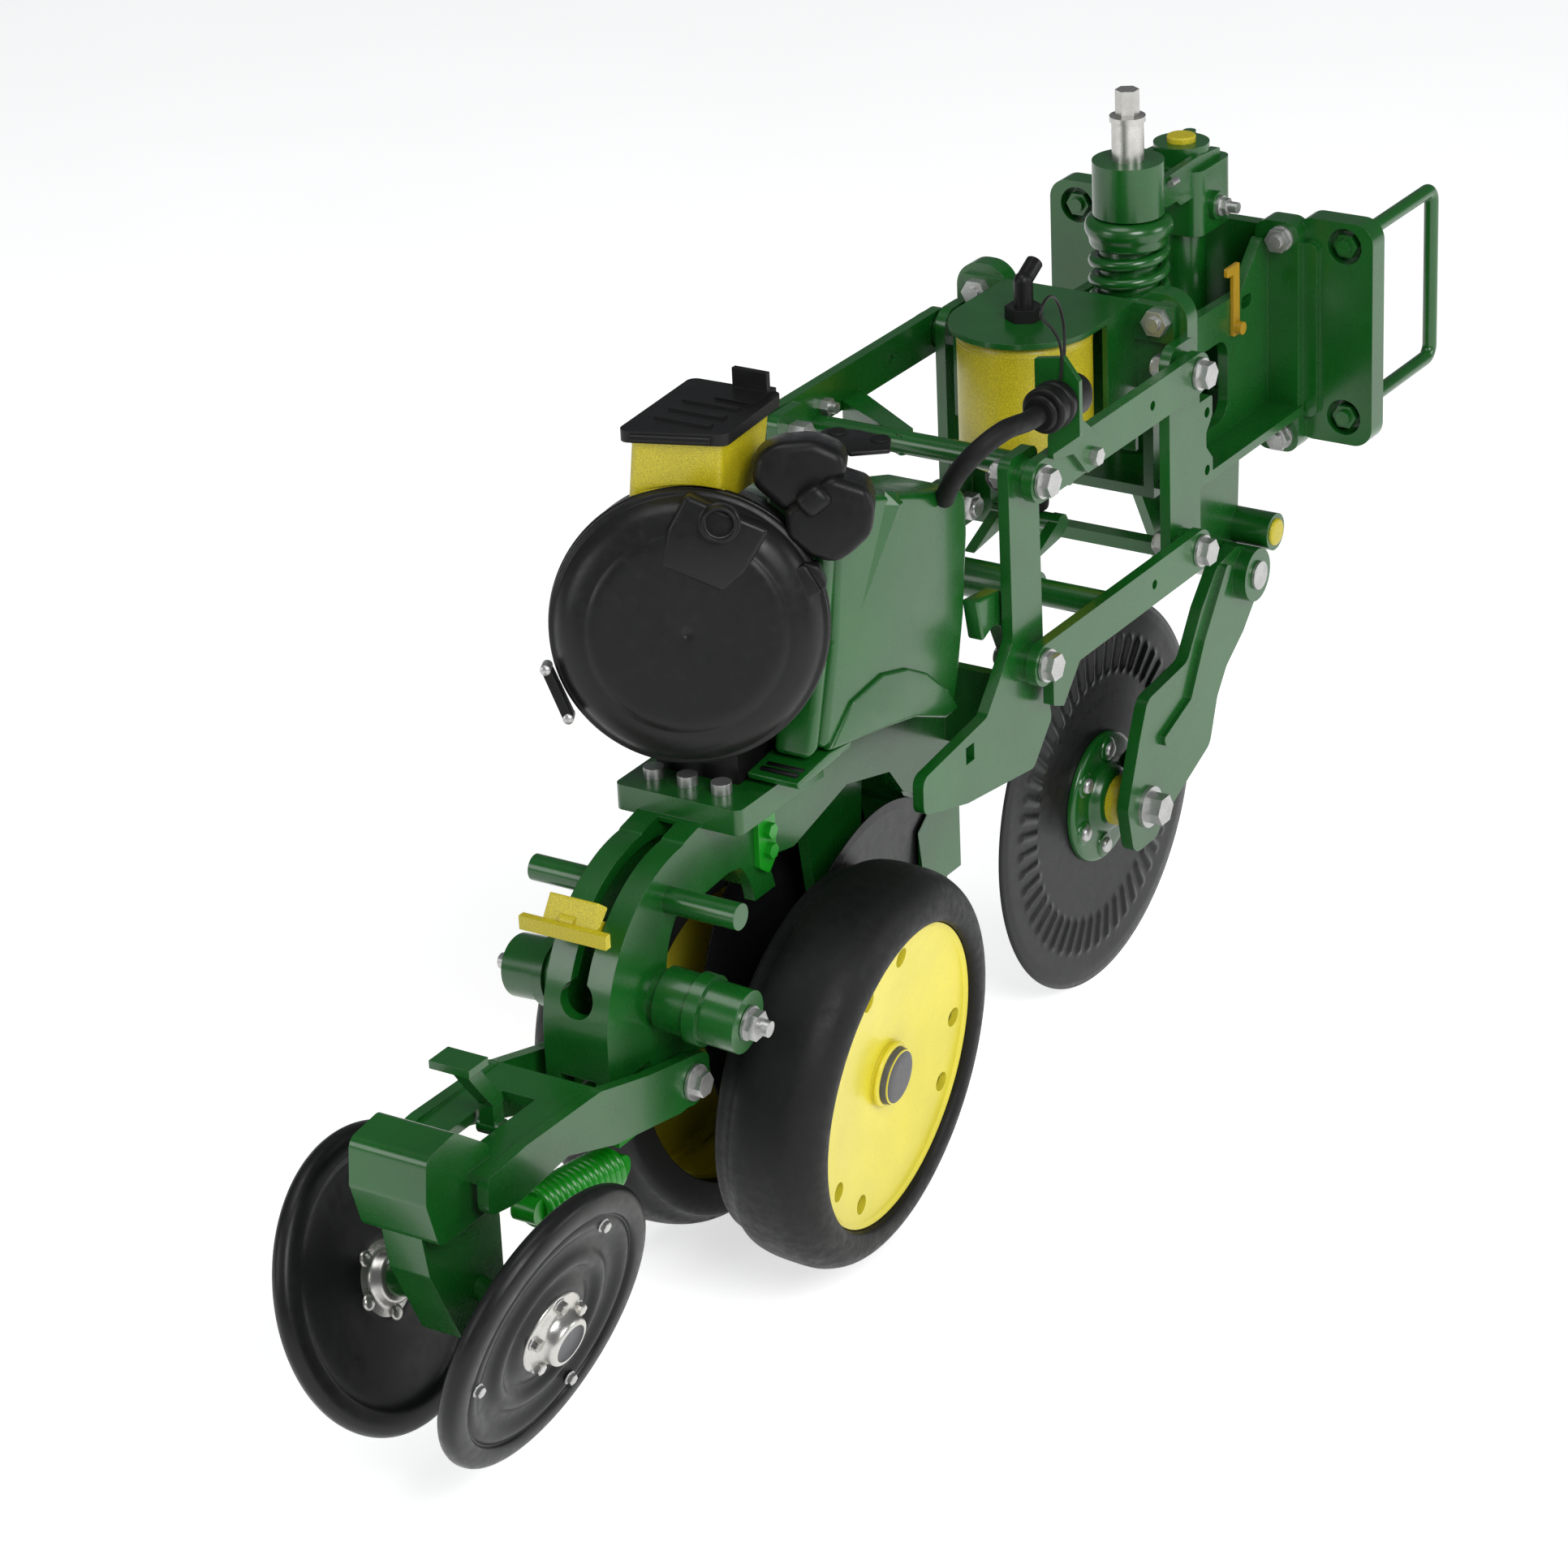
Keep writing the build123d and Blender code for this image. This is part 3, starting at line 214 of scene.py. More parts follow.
GREEN = paint("green_paint", (0.0045, 0.083, 0.0085), 0.27)
BRIGHT = paint("bright_green_paint", (0.001, 0.235, 0.004), 0.33)
YELLOW = paint("yellow_finish", (0.50, 0.42, 0.009), 0.42, 0.1, 0.40)
# Painted highlight: a lighter copy of the yellow paint for the gauge dishes and the cap lips, standing for the
# highlight on the dish tops.
HIGHLIGHT_YELLOW = paint("dish_yellow_painted_highlight", (0.68, 0.59, 0.035), 0.36, 0.15, 0.08)
OCHRE = paint("ochre_paint", (0.40, 0.23, 0.006), 0.34)
ZINC = zinc("zinc_steel")
BARE = zinc("bare_steel", (0.55, 0.54, 0.51), 0.28, 0.12)
WASHER = zinc("grainy_washer", (0.46, 0.46, 0.46), 0.45, 0.5)
PLASTIC = moulded("black_plastic", (0.0075, 0.0075, 0.0075), 0.38)
SATIN = moulded("cover_plastic", (0.011, 0.011, 0.011), 0.33, 0.05)
RUBBER = moulded("black_rubber", (0.0065, 0.0065, 0.0065), 0.55, 0.2)
TYRE = moulded("tyre_rubber", (0.0085, 0.0085, 0.009), 0.50, 0.10)
PRESSED = moulded("pressed_wheel", (0.010, 0.010, 0.0105), 0.34, 0.04)
BLADE = moulded("blade_steel", (0.008, 0.008, 0.0085), 0.30, 0.03)
GRAY = moulded("gray_cap", (0.10, 0.10, 0.105), 0.40, 0.05)

BY_SLOT = {
    "green_paint": GREEN, "bright_green_paint": BRIGHT, "yellow_finish": YELLOW,
    "black_plastic": PLASTIC, "black_rubber": RUBBER, "tyre_rubber": TYRE,
    "pressed_wheel": PRESSED, "zinc_steel": ZINC, "blade_steel": BLADE, "ochre_paint": OCHRE}
BY_NODE = {
    "gauge_dish_right": HIGHLIGHT_YELLOW, "gauge_dish_left": HIGHLIGHT_YELLOW, "jack_screw": BARE, "meter_cover": SATIN,
    "u_bolt_nuts": GREEN, "down_lever": GREEN}


def finish(obj, mat):
    """Gives every face of the object this one material."""
    obj.data.materials.clear()
    obj.data.materials.append(mat)


for row in frame["record"]["subparts"]:
    node = row["node"]
    obj = frame["nodes"][node]
    mat = BY_NODE.get(node, BY_SLOT[row["material_slot"]])
    if len(obj.material_slots) == 0:
        obj.data.materials.append(mat)
    for place in obj.material_slots:
        place.material = mat


# ---- building pieces --------------------------------------------------------------------------
MM = 0.001
AXIS = Vector((0.07, -0.9925, -0.10)).normalized()
GAUGE_HUB = Vector((-958.0, -94.0, -460.0))
GAUGE_W, DISH_R = 114.0, 165.0
METER_AXIS = Vector((-0.853, -0.492, 0.174)).normalized()
METER_FACE = Vector((-1110.0, -27.0, 45.6))
CLOSE_HUB = Vector((-1493.0, -90.0, -474.0))
CLOSE_AXIS = Vector((-0.026, -0.956, -0.292)).normalized()
COULTER = Vector((-294.0, 0.0, -471.0))
COULTER_R = 216.0
BLADE_HALF = 2.35             # half thickness of the fluted blade
EDGE_HALF = 0.30              # half thickness left at its ground edge
GRIND_FROM = 0.93             # share of the radius where the ground edge starts
JACK_X, CAN_X = -207.0, -431.0
CAN_R = 69.5
OUT = Vector((0.0, -1.0, 0.0))


def mirrored(v):
    """The same point or direction on the other side of the row centre."""
    return Vector((v.x, -v.y, v.z))


def basis(axis):
    """Level forward direction and the third direction of a plane with this normal."""
    level = Vector((0, 0, 1)).cross(axis)
    level = level.normalized() if level.length > 1e-6 else Vector((1, 0, 0))
    if level.x < 0:
        level = -level
    return level, axis.cross(level)


def place(mesh, name, mat, body, replaced=(), smooth=True, slot=None):
    """Turns a finished mesh into a piece that rides on a body."""
    if smooth:
        mesh.polygons.foreach_set("use_smooth", [True] * len(mesh.polygons))
    obj = bpy.data.objects.new(name, mesh)
    SCENE.collection.objects.link(obj)
    mesh.materials.append(mat)
    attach(obj, body)
    if replaced:
        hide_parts(*replaced)
    return obj


def from_lists(name, points, faces):
    mesh = bpy.data.meshes.new(name)
    mesh.from_pydata([tuple(Vector(p) * MM) for p in points], [], faces)
    mesh.update()
    return mesh


def smooth_profile(profile, rounds=2):
    """Corner-cutting of an open profile; its two ends stay where they are."""
    for _ in range(rounds):
        cut = [profile[0]]
        for (r0, t0), (r1, t1) in zip(profile, profile[1:]):
            cut.append((0.75 * r0 + 0.25 * r1, 0.75 * t0 + 0.25 * t1))
            cut.append((0.25 * r0 + 0.75 * r1, 0.25 * t0 + 0.75 * t1))
        cut.append(profile[-1])
        profile = cut
    return profile


def lathe(name, profile, point, axis, mat, body, steps=96, rounds=2, **more):
    """Turned piece: a profile of (radius, height along the axis), closed on the axis or in a ring."""
    level, third = basis(axis)
    closed = profile[0] == profile[-1]
    line = smooth_profile(profile, rounds)
    points, faces = [], []
    for k in range(steps):
        a = 2 * pi * k / steps
        out = level * cos(a) + third * sin(a)
        points.extend(point + out * r + axis * t for r, t in line)
    rows = len(line)
    for k in range(steps):
        a, b = k * rows, ((k + 1) % steps) * rows
        faces.extend((a + i, b + i, b + i + 1, a + i + 1) for i in range(rows - 1))
    mesh = from_lists(name, points, faces)
    tidy = bmesh.new()
    tidy.from_mesh(mesh)
    bmesh.ops.remove_doubles(tidy, verts=tidy.verts, dist=1e-6)
    bmesh.ops.recalc_face_normals(tidy, faces=tidy.faces)
    tidy.to_mesh(mesh)
    tidy.free()
    return place(mesh, name, mat, body, **more)


def ring(name, r, wire, point, axis, mat, body, **more):
    """Round wire ring."""
    loop = [(r + wire * cos(2 * pi * k / 12), wire * sin(2 * pi * k / 12)) for k in range(13)]
    loop[-1] = loop[0]
    return lathe(name, loop, point, axis, mat, body, rounds=0, **more)


def tube(name, path, radius, mat, body, order=3, **more):
    """Round bar, wire or hose along a smooth curve through control points in millimetres."""
    curve = bpy.data.curves.new(name, "CURVE")
    curve.dimensions = "3D"
    curve.bevel_depth = radius * MM
    curve.bevel_resolution = 5
    curve.use_fill_caps = True
    spline = curve.splines.new("NURBS")
    spline.points.add(len(path) - 1)
    for knot, p in zip(spline.points, path):
        knot.co = (*(Vector(p) * MM), 1.0)
    spline.order_u = order
    spline.use_endpoint_u = True
    spline.resolution_u = 10
    obj = bpy.data.objects.new(name, curve)
    SCENE.collection.objects.link(obj)
    curve.materials.append(mat)
    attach(obj, body)
    if more.get("replaced"):
        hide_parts(*more["replaced"])
    return obj


def coil(name, start, axis, r, wire, pitch, turns, mat, body, phase=0.0, **more):
    """Helical spring wire as a mesh tube."""
    level, third = basis(axis)
    steps, sides = int(40 * turns), 10
    points, faces = [], []
    for k in range(steps + 1):
        a = 2 * pi * turns * k / steps + phase
        out = level * cos(a) + third * sin(a)
        centre = start + out * r + axis * (pitch * turns * k / steps)
        for m in range(sides):
            b = 2 * pi * m / sides
            points.append(centre + out * (wire * cos(b)) + axis * (wire * sin(b)))
    for k in range(steps):
        for m in range(sides):
            n = (m + 1) % sides
            faces.append((k * sides + m, k * sides + n, (k + 1) * sides + n, (k + 1) * sides + m))
    faces.append(tuple(range(sides)))
    faces.append(tuple(steps * sides + m for m in reversed(range(sides))))
    return place(from_lists(name, points, faces), name, mat, body, **more)


def slab(name, outline, origin, u, v, thick, edge, mat, body, segments=3, **more):
    """Plate from an outline in a plane's own u, v, made thick along its normal, with rounded edges."""
    normal = u.cross(v)
    mesh = bpy.data.meshes.new(name)
    work = bmesh.new()
    ring_ = [work.verts.new(tuple((origin + u * a + v * b) * MM)) for a, b in outline]
    face = work.faces.new(ring_)
    grown = bmesh.ops.extrude_face_region(work, geom=[face])
    moved = [e for e in grown["geom"] if isinstance(e, bmesh.types.BMVert)]
    bmesh.ops.translate(work, verts=moved, vec=tuple(normal * thick * MM))
    bmesh.ops.recalc_face_normals(work, faces=work.faces)
    if edge:
        bmesh.ops.bevel(work, geom=list(work.edges), offset=edge * MM, segments=segments, profile=0.5,
                        affect="EDGES", clamp_overlap=True)
    work.to_mesh(mesh)
    work.free()
    return place(mesh, name, mat, body, **more)


def hex_head(name, point, axis, across, height, mat, body, washer=0.0):
    """Hexagon bolt head with a chamfered crown, on a round washer face."""
    level, third = basis(axis)
    r = across / 2 / cos(pi / 6)
    rows = ((r * 0.80, 0.0), (r, height * 0.12), (r, height * 0.80), (r * 0.86, height))
    points, faces = [], []
    for radius, t in rows:
        for k in range(6):
            a = pi / 3 * k
            points.append(point + (level * cos(a) + third * sin(a)) * radius + axis * t)
    for row in range(len(rows) - 1):
        for k in range(6):
            n = (k + 1) % 6
            faces.append((row * 6 + k, row * 6 + n, row * 6 + 6 + n, row * 6 + 6 + k))
    faces.append(tuple(range(5, -1, -1)))
    faces.append(tuple(18 + k for k in range(6)))
    head = place(from_lists(name, points, faces), name, mat, body, smooth=False)
    if washer:
        lathe(name + "_washer", [(0.1, -1.2), (washer - 1, -1.2), (washer, -0.4), (washer - 1, 0.6), (0.1, 0.6)],
              point, axis, WASHER, body, steps=32, rounds=0)
    return head


def around(point, axis, r, turn, lift=0.0):
    """A point at radius r and turn degrees about an axis, lifted along it."""
    level, third = basis(axis)
    a = radians(turn)
    return point + (level * cos(a) + third * sin(a)) * r + axis * lift


SIDES = (("right", lambda v: v), ("left", mirrored))


# ---- gauge wheels -----------------------------------------------------------------------------
half = GAUGE_W / 2
TYRE_LINE = [
    (152, -half), (178, -half), (187, -half + 3), (188, -half + 12), (192, -half + 19), (199, -half + 26),
    (202.5, -half + 42), (203, 0), (203, 20), (201, half - 26), (194, half - 12), (182, half - 3),
    (DISH_R + 6, half), (DISH_R - 4, half - 1), (DISH_R - 8, half - 6), (DISH_R - 8, half - 20),
    (152, half - 34), (151.5, 0), (152, -half)]
for side, flip in SIDES:
    hub, axis = flip(GAUGE_HUB), flip(AXIS)
    lathe(f"tyre_{side}", TYRE_LINE, hub, axis, TYRE, f"gauge_wheel_{side}", steps=160,
          replaced=(f"gauge_tyre_{side}",), slot="tyre_rubber")
    lathe(f"hub_cap_{side}", [(0.1, 52.0), (20, 52.0), (24, 51.4), (28.6, 49), (29.2, 43), (29.2, 34)],
          hub, axis, GRAY, f"gauge_wheel_{side}", steps=64, rounds=1)
    lathe(f"cap_lip_{side}", [(29, 37), (33, 37.6), (34, 39), (33, 42), (30, 43), (29, 42)],
          hub, axis, HIGHLIGHT_YELLOW, f"gauge_wheel_{side}", steps=64, rounds=1)


# ---- closing wheels ---------------------------------------------------------------------------
CLOSE_LINE = [
    (30, 9), (44, 9.5), (50, 8), (58, 4.2), (64, 4.6), (70, 9.4), (75, 10.6), (80, 9.4), (86, 4.6),
    (94, 3.4), (100, 4.6), (107, 8.2), (112, 9.2), (116, 8.4), (119, 6.2), (120.5, 6.5), (122, 10.4),
    (128, 11.6), (137, 11.2), (143.5, 8.2), (146, 2.0), (146, -2.0), (143.5, -8.2), (137, -11.2),
    (128, -11.6), (122, -10.6), (120, -6), (112, -4), (94, -4.0), (70, -5), (50, -5), (30, -6), (30, 9)]
for side, flip in SIDES:
    hub, axis = flip(CLOSE_HUB), flip(CLOSE_AXIS)
    body = f"closing_wheel_{side}_body"
    lathe(f"closing_disc_{side}", CLOSE_LINE, hub, axis, PRESSED, body, steps=144,
          replaced=(f"closing_wheel_{side}",), slot="pressed_wheel")
    lathe(f"closing_hub_{side}",
          [(12.5, -20), (24, -20), (25, -6), (41, -5), (42, 9), (41, 11.5), (34, 13.5), (28, 17), (26, 24),
           (25.4, 29), (23, 31.5), (19.5, 31.5)],
          hub, axis, BARE, body, steps=64, rounds=1)
    lathe(f"closing_cap_{side}", [(19.8, 31.0), (18.6, 29.2), (15, 28.4), (0.1, 28.2)],
          hub, axis, GRAY, body, steps=48, rounds=1)
    for k in range(5):
        hex_head(f"closing_hub_bolt_{side}_{k}", around(hub, axis, 34, 72 * k + 22, 12.6), axis, 11, 7.5,
                 BARE, body, washer=8)
        lathe(f"closing_rivet_{side}_{k}", [(0.1, -9.5), (4.5, -9.2), (7.5, -7.5), (8.2, -5)],
              around(hub, axis, 34, 72 * k + 22), axis, BARE, body, steps=24, rounds=1)
    for k in range(3):
        spot = around(hub, axis, 109, 120 * k + 62, 9.0)
        hex_head(f"closing_rim_bolt_{side}_{k}", spot, axis, 10, 5.5, ZINC, body, washer=7.5)


# ---- coulter ----------------------------------------------------------------------------------
def flute_height(r, a):
    """Height of the swept ripples between the hub and the bevel, for a radius share and an angle."""
    band = min(1.0, max(0.0, (r - 0.63) / 0.03)) * min(1.0, max(0.0, (0.83 - r) / 0.03))
    wave = sin(50 * a + 9.0 * (r - 0.64))
    return 2.0 * band * (max(-0.4, wave) + 0.4)


def coulter_blade():
    """Thin disc with a ground bevel and a ring of ripples pressed into both faces."""
    shares = [0.09, 0.20, 0.34] + [0.60 + 0.0125 * k for k in range(21)] + [0.90, 0.928, 0.936, 0.97, 1.0]
    steps = 500
    points, faces = [], []
    for side in (-1, 1):
        for r in shares:
            grind = max(0.0, (r - GRIND_FROM) / (1.0 - GRIND_FROM))
            flat = BLADE_HALF - (BLADE_HALF - EDGE_HALF) * grind
            for k in range(steps):
                a = 2 * pi * k / steps
                lift = flute_height(r, a)
                y = side * flat + side * lift * (1 if side < 0 else 0.9)
                points.append((COULTER.x + r * COULTER_R * cos(a), y, COULTER.z + r * COULTER_R * sin(a)))
    rows = len(shares)
    for side in (0, 1):
        base = side * rows * steps
        for i in range(rows - 1):
            for k in range(steps):
                n = (k + 1) % steps
                low, high = base + i * steps, base + (i + 1) * steps
                quad = (low + k, low + n, high + n, high + k)
                faces.append(quad if side == 0 else quad[::-1])
    last = (rows - 1) * steps
    for k in range(steps):
        n = (k + 1) % steps
        faces.append((last + k, last + n, rows * steps + last + n, rows * steps + last + k))
        faces.append((n, k, rows * steps + k, rows * steps + n))
    place(from_lists("fluted_blade", points, faces), "fluted_blade", BLADE, "coulter_disc",
          replaced=("coulter_blade",), slot="blade_steel")


coulter_blade()
HUB_FACE = [(12.1, 24), (30, 24), (36, 20), (39, 12), (42, 10.2), (66, 10.2), (70, 9.4), (72.6, 7.5), (73, 3.0)]
for k, axis in enumerate((OUT, -OUT)):
    lathe(f"coulter_flange_{k}", HUB_FACE, COULTER, axis, GREEN, "coulter_disc", steps=96, rounds=1,
          replaced=("coulter_hub",) if k == 0 else ())
    for m in range(6):
        spot = around(COULTER, axis, 55, 60 * m + 24)
        lathe(f"coulter_pad_{k}_{m}", [(0.1, 12.6), (11, 12.6), (13.5, 11.8), (15, 9)], spot, axis, GREEN,
              "coulter_disc", steps=32, rounds=1)
        lathe(f"coulter_bolt_{k}_{m}", [(0.1, 17.5), (6, 17.3), (8.2, 15.6), (8.8, 12.4)], spot, axis, ZINC,
              "coulter_disc", steps=24, rounds=1)
lathe("coulter_cap", [(13, 41), (19, 40.6), (24, 38), (27, 33), (27.5, 26), (27.5, 21)], COULTER, OUT, YELLOW,
      "coulter_disc", steps=64, rounds=1)


# ---- springs ----------------------------------------------------------------------------------
UP = Vector((0.0, 0.0, 1.0))
jack_foot = Vector((JACK_X, 0.0, 28.0))
coil("jack_coil", jack_foot, UP, 37.0, 6.6, 20.5, 5.0, GREEN, "head", replaced=("jack_spring",),
     slot="green_paint")
lathe("jack_flare", [(30.4, 166), (39, 166), (45, 162), (47, 156), (46.5, 150), (43, 144), (42, 137), (40, 134),
                     (31, 133), (30.4, 140), (30.4, 166)],
      Vector((JACK_X, 0, 0)), UP, GREEN, "head", steps=72, rounds=1)
lathe("jack_core", [(30.3, 134), (31.4, 132), (31.4, 26), (30.3, 24), (30.2, 60), (30.3, 134)],
      Vector((JACK_X, 0, 0)), UP, GREEN, "head", steps=64, rounds=0)
lathe("jack_seat", [(30.3, 28), (44, 28), (46, 25), (46, 20), (43, 17), (30.3, 17), (30.3, 28)],
      Vector((JACK_X, 0, 0)), UP, GREEN, "head", steps=64, rounds=1)


# ---- air spring -------------------------------------------------------------------------------
BOOT_LINE = [(0.1, -84), (20, -84), (22, -80), (22, -62), (30, -60), (40, -57), (44, -50), (43, -42), (38, -38),
             (40, -34), (43.8, -30), (40, -25.4), (0.1, -25.4)]
lathe("bellows", BOOT_LINE, Vector((CAN_X, 0, 0)), UP, RUBBER, "head", steps=64, rounds=2,
      replaced=("air_boot",), slot="black_rubber")
can_foot = Vector((CAN_X, 0, 0))
for name, z in (("can_bead_low", -12.0), ("can_bead_high", 106.0)):
    ring(name, CAN_R - 1.0, 1.6, can_foot + UP * z, UP, YELLOW, "head")


# ---- hose -------------------------------------------------------------------------------------
HOSE = [(-706, -172, 144), (-728, -172, 144), (-750, -173, 149), (-770, -170, 150), (-795, -159, 139),
        (-804, -141, 117), (-796, -124, 94), (-782, -110, 74)]
tube("hose", HOSE, 10.0, RUBBER, "row_frame", replaced=("feed_hose",))


# ---- seed meter -------------------------------------------------------------------------------
METER_U, METER_V = basis(METER_AXIS)
COVER_LINE = [
    (0.1, 4.6), (2.5, 4.9), (4, 5.8), (77, 5.8), (88, 5.4), (92.5, 3.6), (95, 1.8), (103, 0.6), (112.5, -3.4),
    (119, -9.0), (123.5, -15.4), (125, -18.6), (127.8, -19.6), (130, -21), (130.5, -24), (130, -28.4),
    (127.8, -29.6), (110, -29.6)]
lathe("cover_dome", COVER_LINE, METER_FACE, METER_AXIS, SATIN, "cover", steps=160, rounds=2,
      replaced=("meter_cover",), slot="black_plastic")


def on_meter(outline, t0, t1, name, mat, body, edge, **more):
    """Slab drawn in the meter's own plane, from height t0 to t1 above its face."""
    return slab(name, outline, METER_FACE + METER_AXIS * t0, METER_U, METER_V, t1 - t0, edge, mat, body, **more)


on_meter([(4, 131), (80, 96), (56, 56), (34, 38), (-22, 64), (-14, 100)], -22, 7.4, "cover_pad", SATIN, "cover",
         5.0, segments=4)
PORT = METER_FACE + METER_U * 34 + METER_V * 104
lathe("cover_port", [(13.5, -2), (13.5, 15.4), (14.3, 16), (16.2, 16), (17, 15), (17, 9),
                     (19.5, 7.3)], PORT, METER_AXIS, SATIN, "cover", steps=64, rounds=1)
lathe("cover_port_bore", [(13.4, 12), (13.0, 4), (0.1, 3.8)], PORT, METER_AXIS, ZINC, "cover",
      steps=48, rounds=0)
on_meter([(77, 47), (111, 60), (125, 33), (90, 19)], -30, -6, "cover_clip", PLASTIC, "row_frame", 3.0,
         replaced=("cover_clips",))
on_meter([(84, 43), (102, 50), (108, 36), (90, 30)], -8, -4.4, "cover_clip_pocket", RUBBER, "row_frame", 1.2)
on_meter([(108, 61), (123, 58), (130, 38), (124, 33)], -34, -8, "cover_clip_root", PLASTIC, "row_frame", 3.0)
on_meter([(-138, -38), (-129, -35), (-110, -81), (-120, -84)], -34, -14, "cover_latch", RUBBER, "row_frame", 2.0)
for k, spot in enumerate(((-134, -36), (-115, -83))):
    lathe(f"cover_latch_pin_{k}", [(0.1, -12), (4.6, -12), (5.2, -13.5), (5.2, -35)],
          METER_FACE + METER_U * spot[0] + METER_V * spot[1], METER_AXIS, ZINC, "row_frame", steps=24, rounds=0)
lathe("meter_back_rim", [(108, -30), (129.6, -30.2), (131.5, -32), (131.5, -40), (128.6, -43), (123, -44),
                         (122, -96), (0.1, -96)],
      METER_FACE, METER_AXIS, PLASTIC, "row_frame", steps=128, rounds=1)
on_meter([(62, 132), (66, 158), (86, 170), (122, 172), (148, 160), (152, 140), (118, 108), (92, 104)], -84, -24,
         "motor_block", PLASTIC, "row_frame", 13.0, segments=6, replaced=("meter_motor",))
on_meter([(92, 108), (136, 140), (170, 128), (176, 108), (172, 84), (152, 66), (138, 58), (116, 64), (94, 84)],
         -88, -14, "motor_lobe", PLASTIC, "row_frame", 17.0, segments=7)
on_meter([(100, 120), (124, 136), (140, 118), (116, 100)], -40, -6, "motor_boss", PLASTIC, "row_frame", 8.0,
         segments=4)
slab("motor_bracket", [(-884, -30), (-862, -30), (-853, -62), (-856, -98), (-884, -114), (-908, -84)],
     Vector((0, 0, 157)), Vector((1, 0, 0)), Vector((0, 1, 0)), 5, 2.0, PLASTIC, "row_frame")
for k, (x, y) in enumerate(((-868, -46), (-866, -92))):
    lathe(f"motor_bracket_hole_{k}", [(0.1, 162.6), (6, 162.6), (7.2, 163.4), (9, 163.2), (9.6, 161)],
          Vector((x, y, 0)), UP, RUBBER, "row_frame", steps=32, rounds=0)


# ---- hood in front of the meter ---------------------------------------------------------------
EAST, NORTH = Vector((1, 0, 0)), Vector((0, 0, 1))


def side_slab(name, outline, y0, y1, edge, mat, body, **more):
    """Slab from an X, Z outline, between y0 (left) and y1 (right)."""
    return slab(name, outline, Vector((0, y0, 0)), EAST, NORTH, y0 - y1, edge, mat, body, **more)


HOOD = [(-1012, -98), (-902, -112), (-849, -124), (-792, -148), (-768, -150), (-758, -122), (-744, -60),
        (-734, 20), (-734, 60), (-745, 72), (-821, 95), (-902, 121), (-960, 138), (-972, 90), (-985, 0)]
side_slab("hood", HOOD, -22, -108, 9.0, GREEN, "row_frame", segments=5, replaced=("meter_shroud",),
          slot="green_paint")
INNER_HOOD = [(x, z - 14 if z > 0 else z + 6) for x, z in HOOD]
side_slab("hood_inner", INNER_HOOD, 104, -24, 12.0, GREEN, "row_frame", segments=4)
side_slab("hood_skirt", [(-1006, -100), (-962, -66), (-906, -60), (-861, -72), (-824, -92), (-787, -124),
                         (-766, -152), (-792, -153), (-849, -129), (-902, -118)],
          -100, -112, 3.5, GREEN, "row_frame", segments=3)
fold = [(-888, -107.6, 106), (-853, -107.6, 96), (-942, -107.6, 10), (-870, -113.5, 100), (-880, -104, 116),
        (-860, -104, 108)]
place(from_lists("hood_fold", fold, [(0, 3, 2), (3, 1, 2), (0, 4, 3), (3, 5, 1), (4, 5, 3)]), "hood_fold", GREEN,
      "row_frame", smooth=False)
side_slab("hood_tail", [(-1030, -104), (-1010, -98), (-984, -4), (-962, 92), (-968, 128), (-984, 128), (-994, 40),
                        (-1018, -60)],
          -60, -104, 8.0, GREEN, "row_frame", segments=4)
side_slab("hood_catch", [(-746, -46), (-700, -50), (-668, -74), (-666, -128), (-684, -122), (-700, -88),
                         (-716, -84), (-736, -92)],
          -104, -122, 3.0, GREEN, "row_frame")
side_slab("hood_lip", [(-1060, -112), (-1000, -104), (-960, -108), (-966, -114), (-1058, -119)], -52, -108, 1.5,
          GREEN, "row_frame")
# Painted shade: thin black rubber bars set into the hood lip stand for the shade inside its slots.
for k in range(8):
    x = -1052 + 10.5 * k
    side_slab(f"hood_slot_shade_{k}", [(x, -108.0 - 0.2 * k), (x + 4.5, -107.6), (x + 4.5, -111), (x, -111)],
              -62, -102, 0.0, RUBBER, "row_frame")


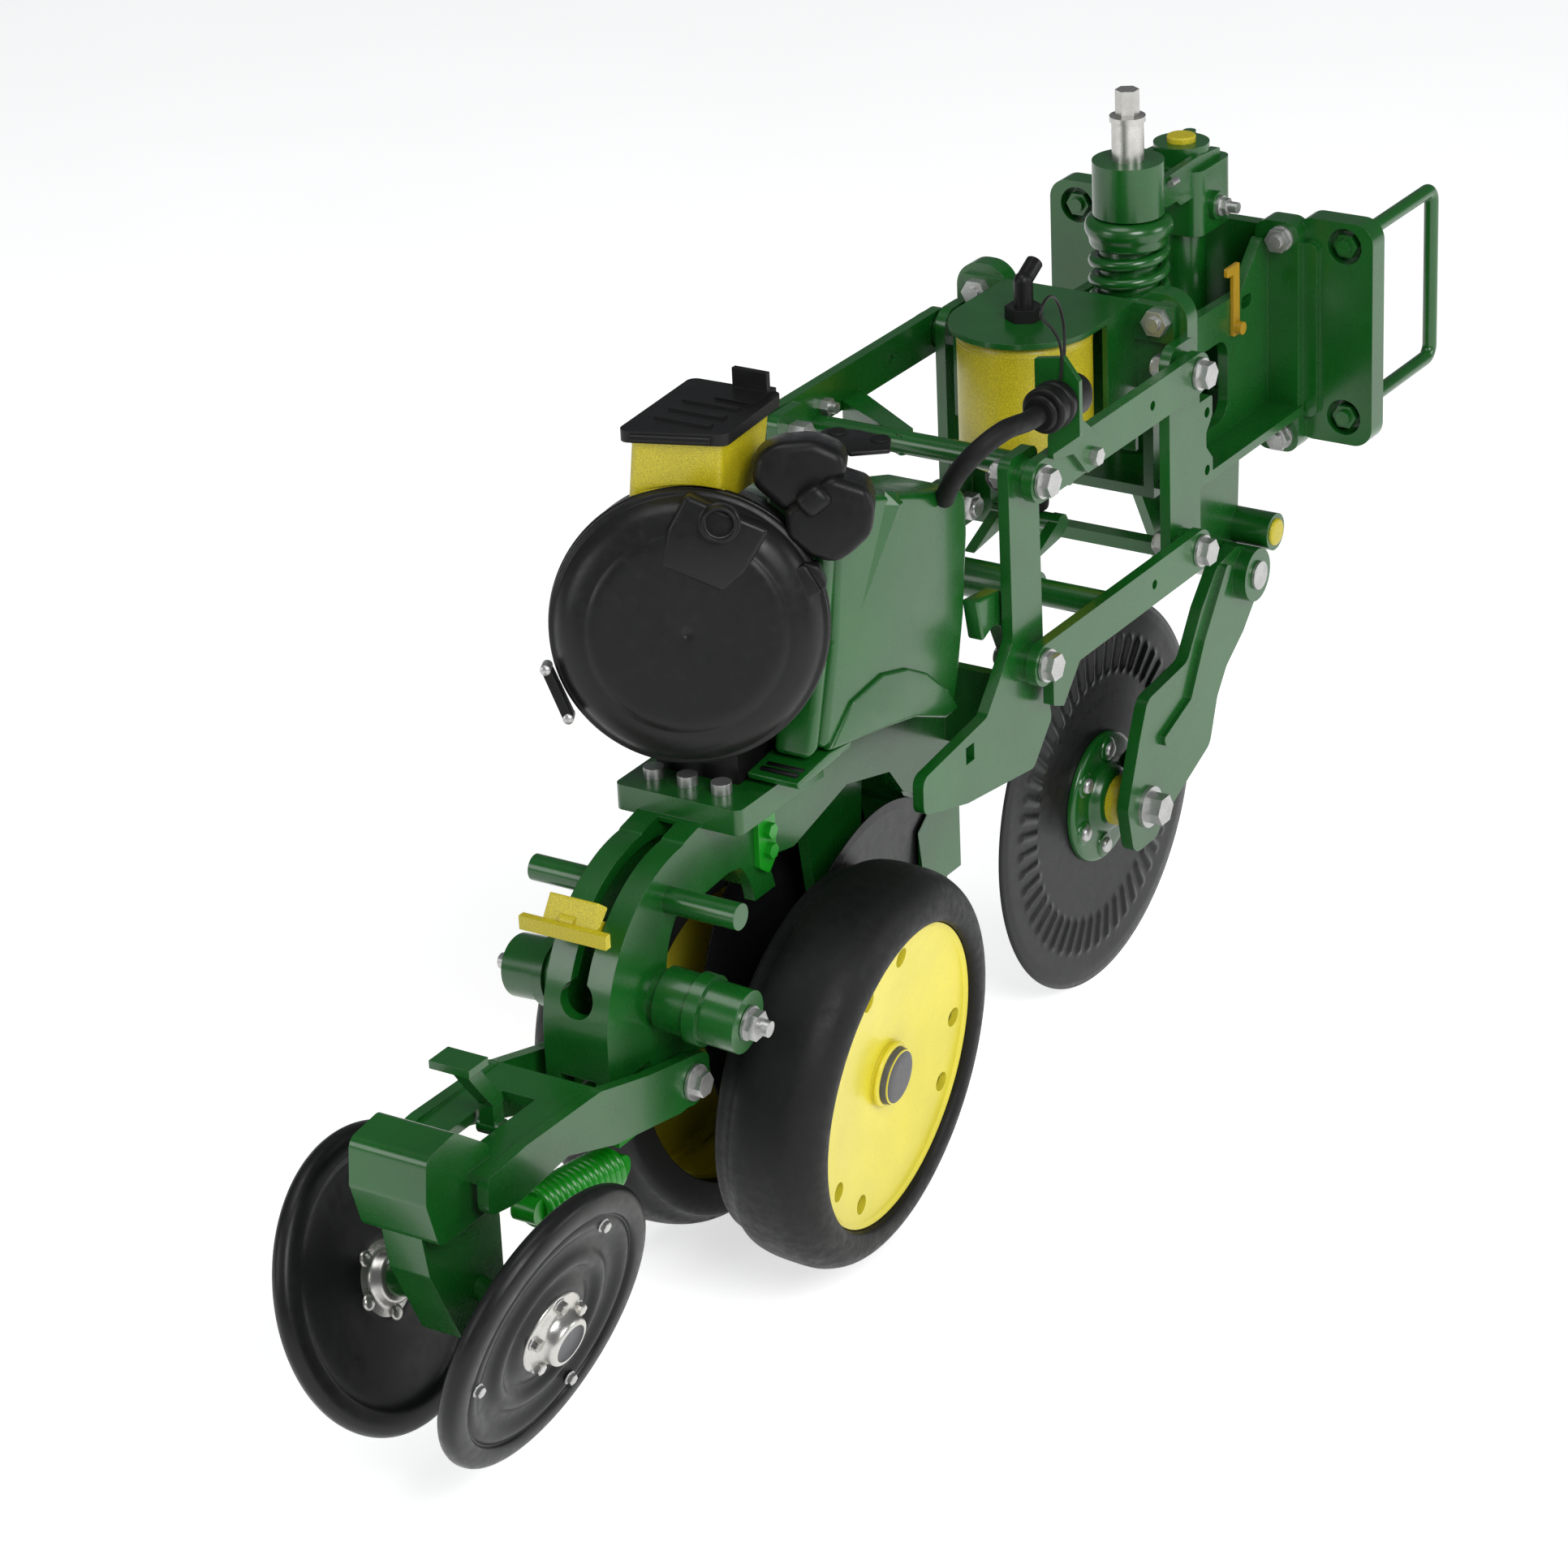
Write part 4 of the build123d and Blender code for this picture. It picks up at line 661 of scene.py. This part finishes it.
# ---- connector and tie ------------------------------------------------------------------------
PLUG = Vector((0, -172, 144))
for k, (r, x0, x1) in enumerate(((18, -704, -698), (23, -697, -690), (20, -689, -682), (23.5, -680, -671),
                                 (23, -656, -648), (20, -646, -636), (17, -636, -628))):
    lathe(f"plug_ring_{k}", [(0.1, x0), (r - 2.5, x0), (r, x0 + 0.9), (r, x1 - 0.9),
                               (r - 2.5, x1), (0.1, x1)], PLUG, EAST, PLASTIC, "upper_arms", steps=48, rounds=0)
tube("tie_loop", [(-668, -176, 168), (-664, -178, 196), (-672, -170, 222), (-690, -166, 236), (-676, -164, 250),
                  (-650, -160, 246), (-634, -160, 222), (-640, -166, 194), (-652, -170, 168)],
     1.6, PLASTIC, "upper_arms")


# ---- small fittings on the head ---------------------------------------------------------------
lathe("housing_cap", [(0.1, 3.5), (12, 3.5), (14.5, 2.6), (15.5, 0.5), (15.5, -1)], Vector((-27, -80, -246)), OUT,
      YELLOW, "head", steps=40, rounds=1)


# ---- floor and light --------------------------------------------------------------------------
def make_stage():
    """A pale floor under the lowest point, one large key light, a fill and a dim sky."""
    low = CAD_BOX[0][2] - 0.002
    mesh = bpy.data.meshes.new("floor")
    edge = 14.0
    mesh.from_pydata([(-edge, -edge, low), (edge, -edge, low), (edge, edge, low), (-edge, edge, low)],
                     [], [(0, 1, 2, 3)])
    floor = bpy.data.objects.new("floor", mesh)
    SCENE.collection.objects.link(floor)
    n = Nodes("pale_floor")
    tone = n.ramp(n.noise(1.5, 3.0), [(0.3, (0.80, 0.80, 0.80)), (0.7, (0.84, 0.84, 0.84))])
    n.link(tone, n.shader.inputs["Base Color"])
    n.set(Roughness=0.9, Emission_Color=(1, 1, 1, 1), Emission_Strength=0.62, Specular_IOR_Level=0.1)
    mesh.materials.append(n.mat)
    aim = Vector((-0.75, 0.0, -0.2))
    lights = (
        ("key_light", (-3.6, -4.2, 3.6), 3.2, 250.0),
        ("top_light", (-1.8, 0.6, 4.6), 3.0, 70.0),
        ("side_light", (1.6, -4.6, 1.4), 2.4, 70.0),
        ("rear_light", (-5.0, 2.6, 1.6), 2.4, 50.0))
    for name, place, size, power in lights:
        data = bpy.data.lights.new(name, "AREA")
        data.shape = "DISK"
        data.size = size
        data.energy = power
        lamp = bpy.data.objects.new(name, data)
        lamp.location = place
        lamp.rotation_euler = (aim - Vector(place)).to_track_quat("-Z", "Y").to_euler()
        SCENE.collection.objects.link(lamp)
    world = bpy.data.worlds.new("studio")
    world.use_nodes = True
    world.node_tree.nodes["Background"].inputs[0].default_value = (0.9, 0.95, 1.0, 1)
    world.node_tree.nodes["Background"].inputs[1].default_value = 0.15
    SCENE.world = world
    SCENE.view_settings.view_transform = "Standard"


make_stage()
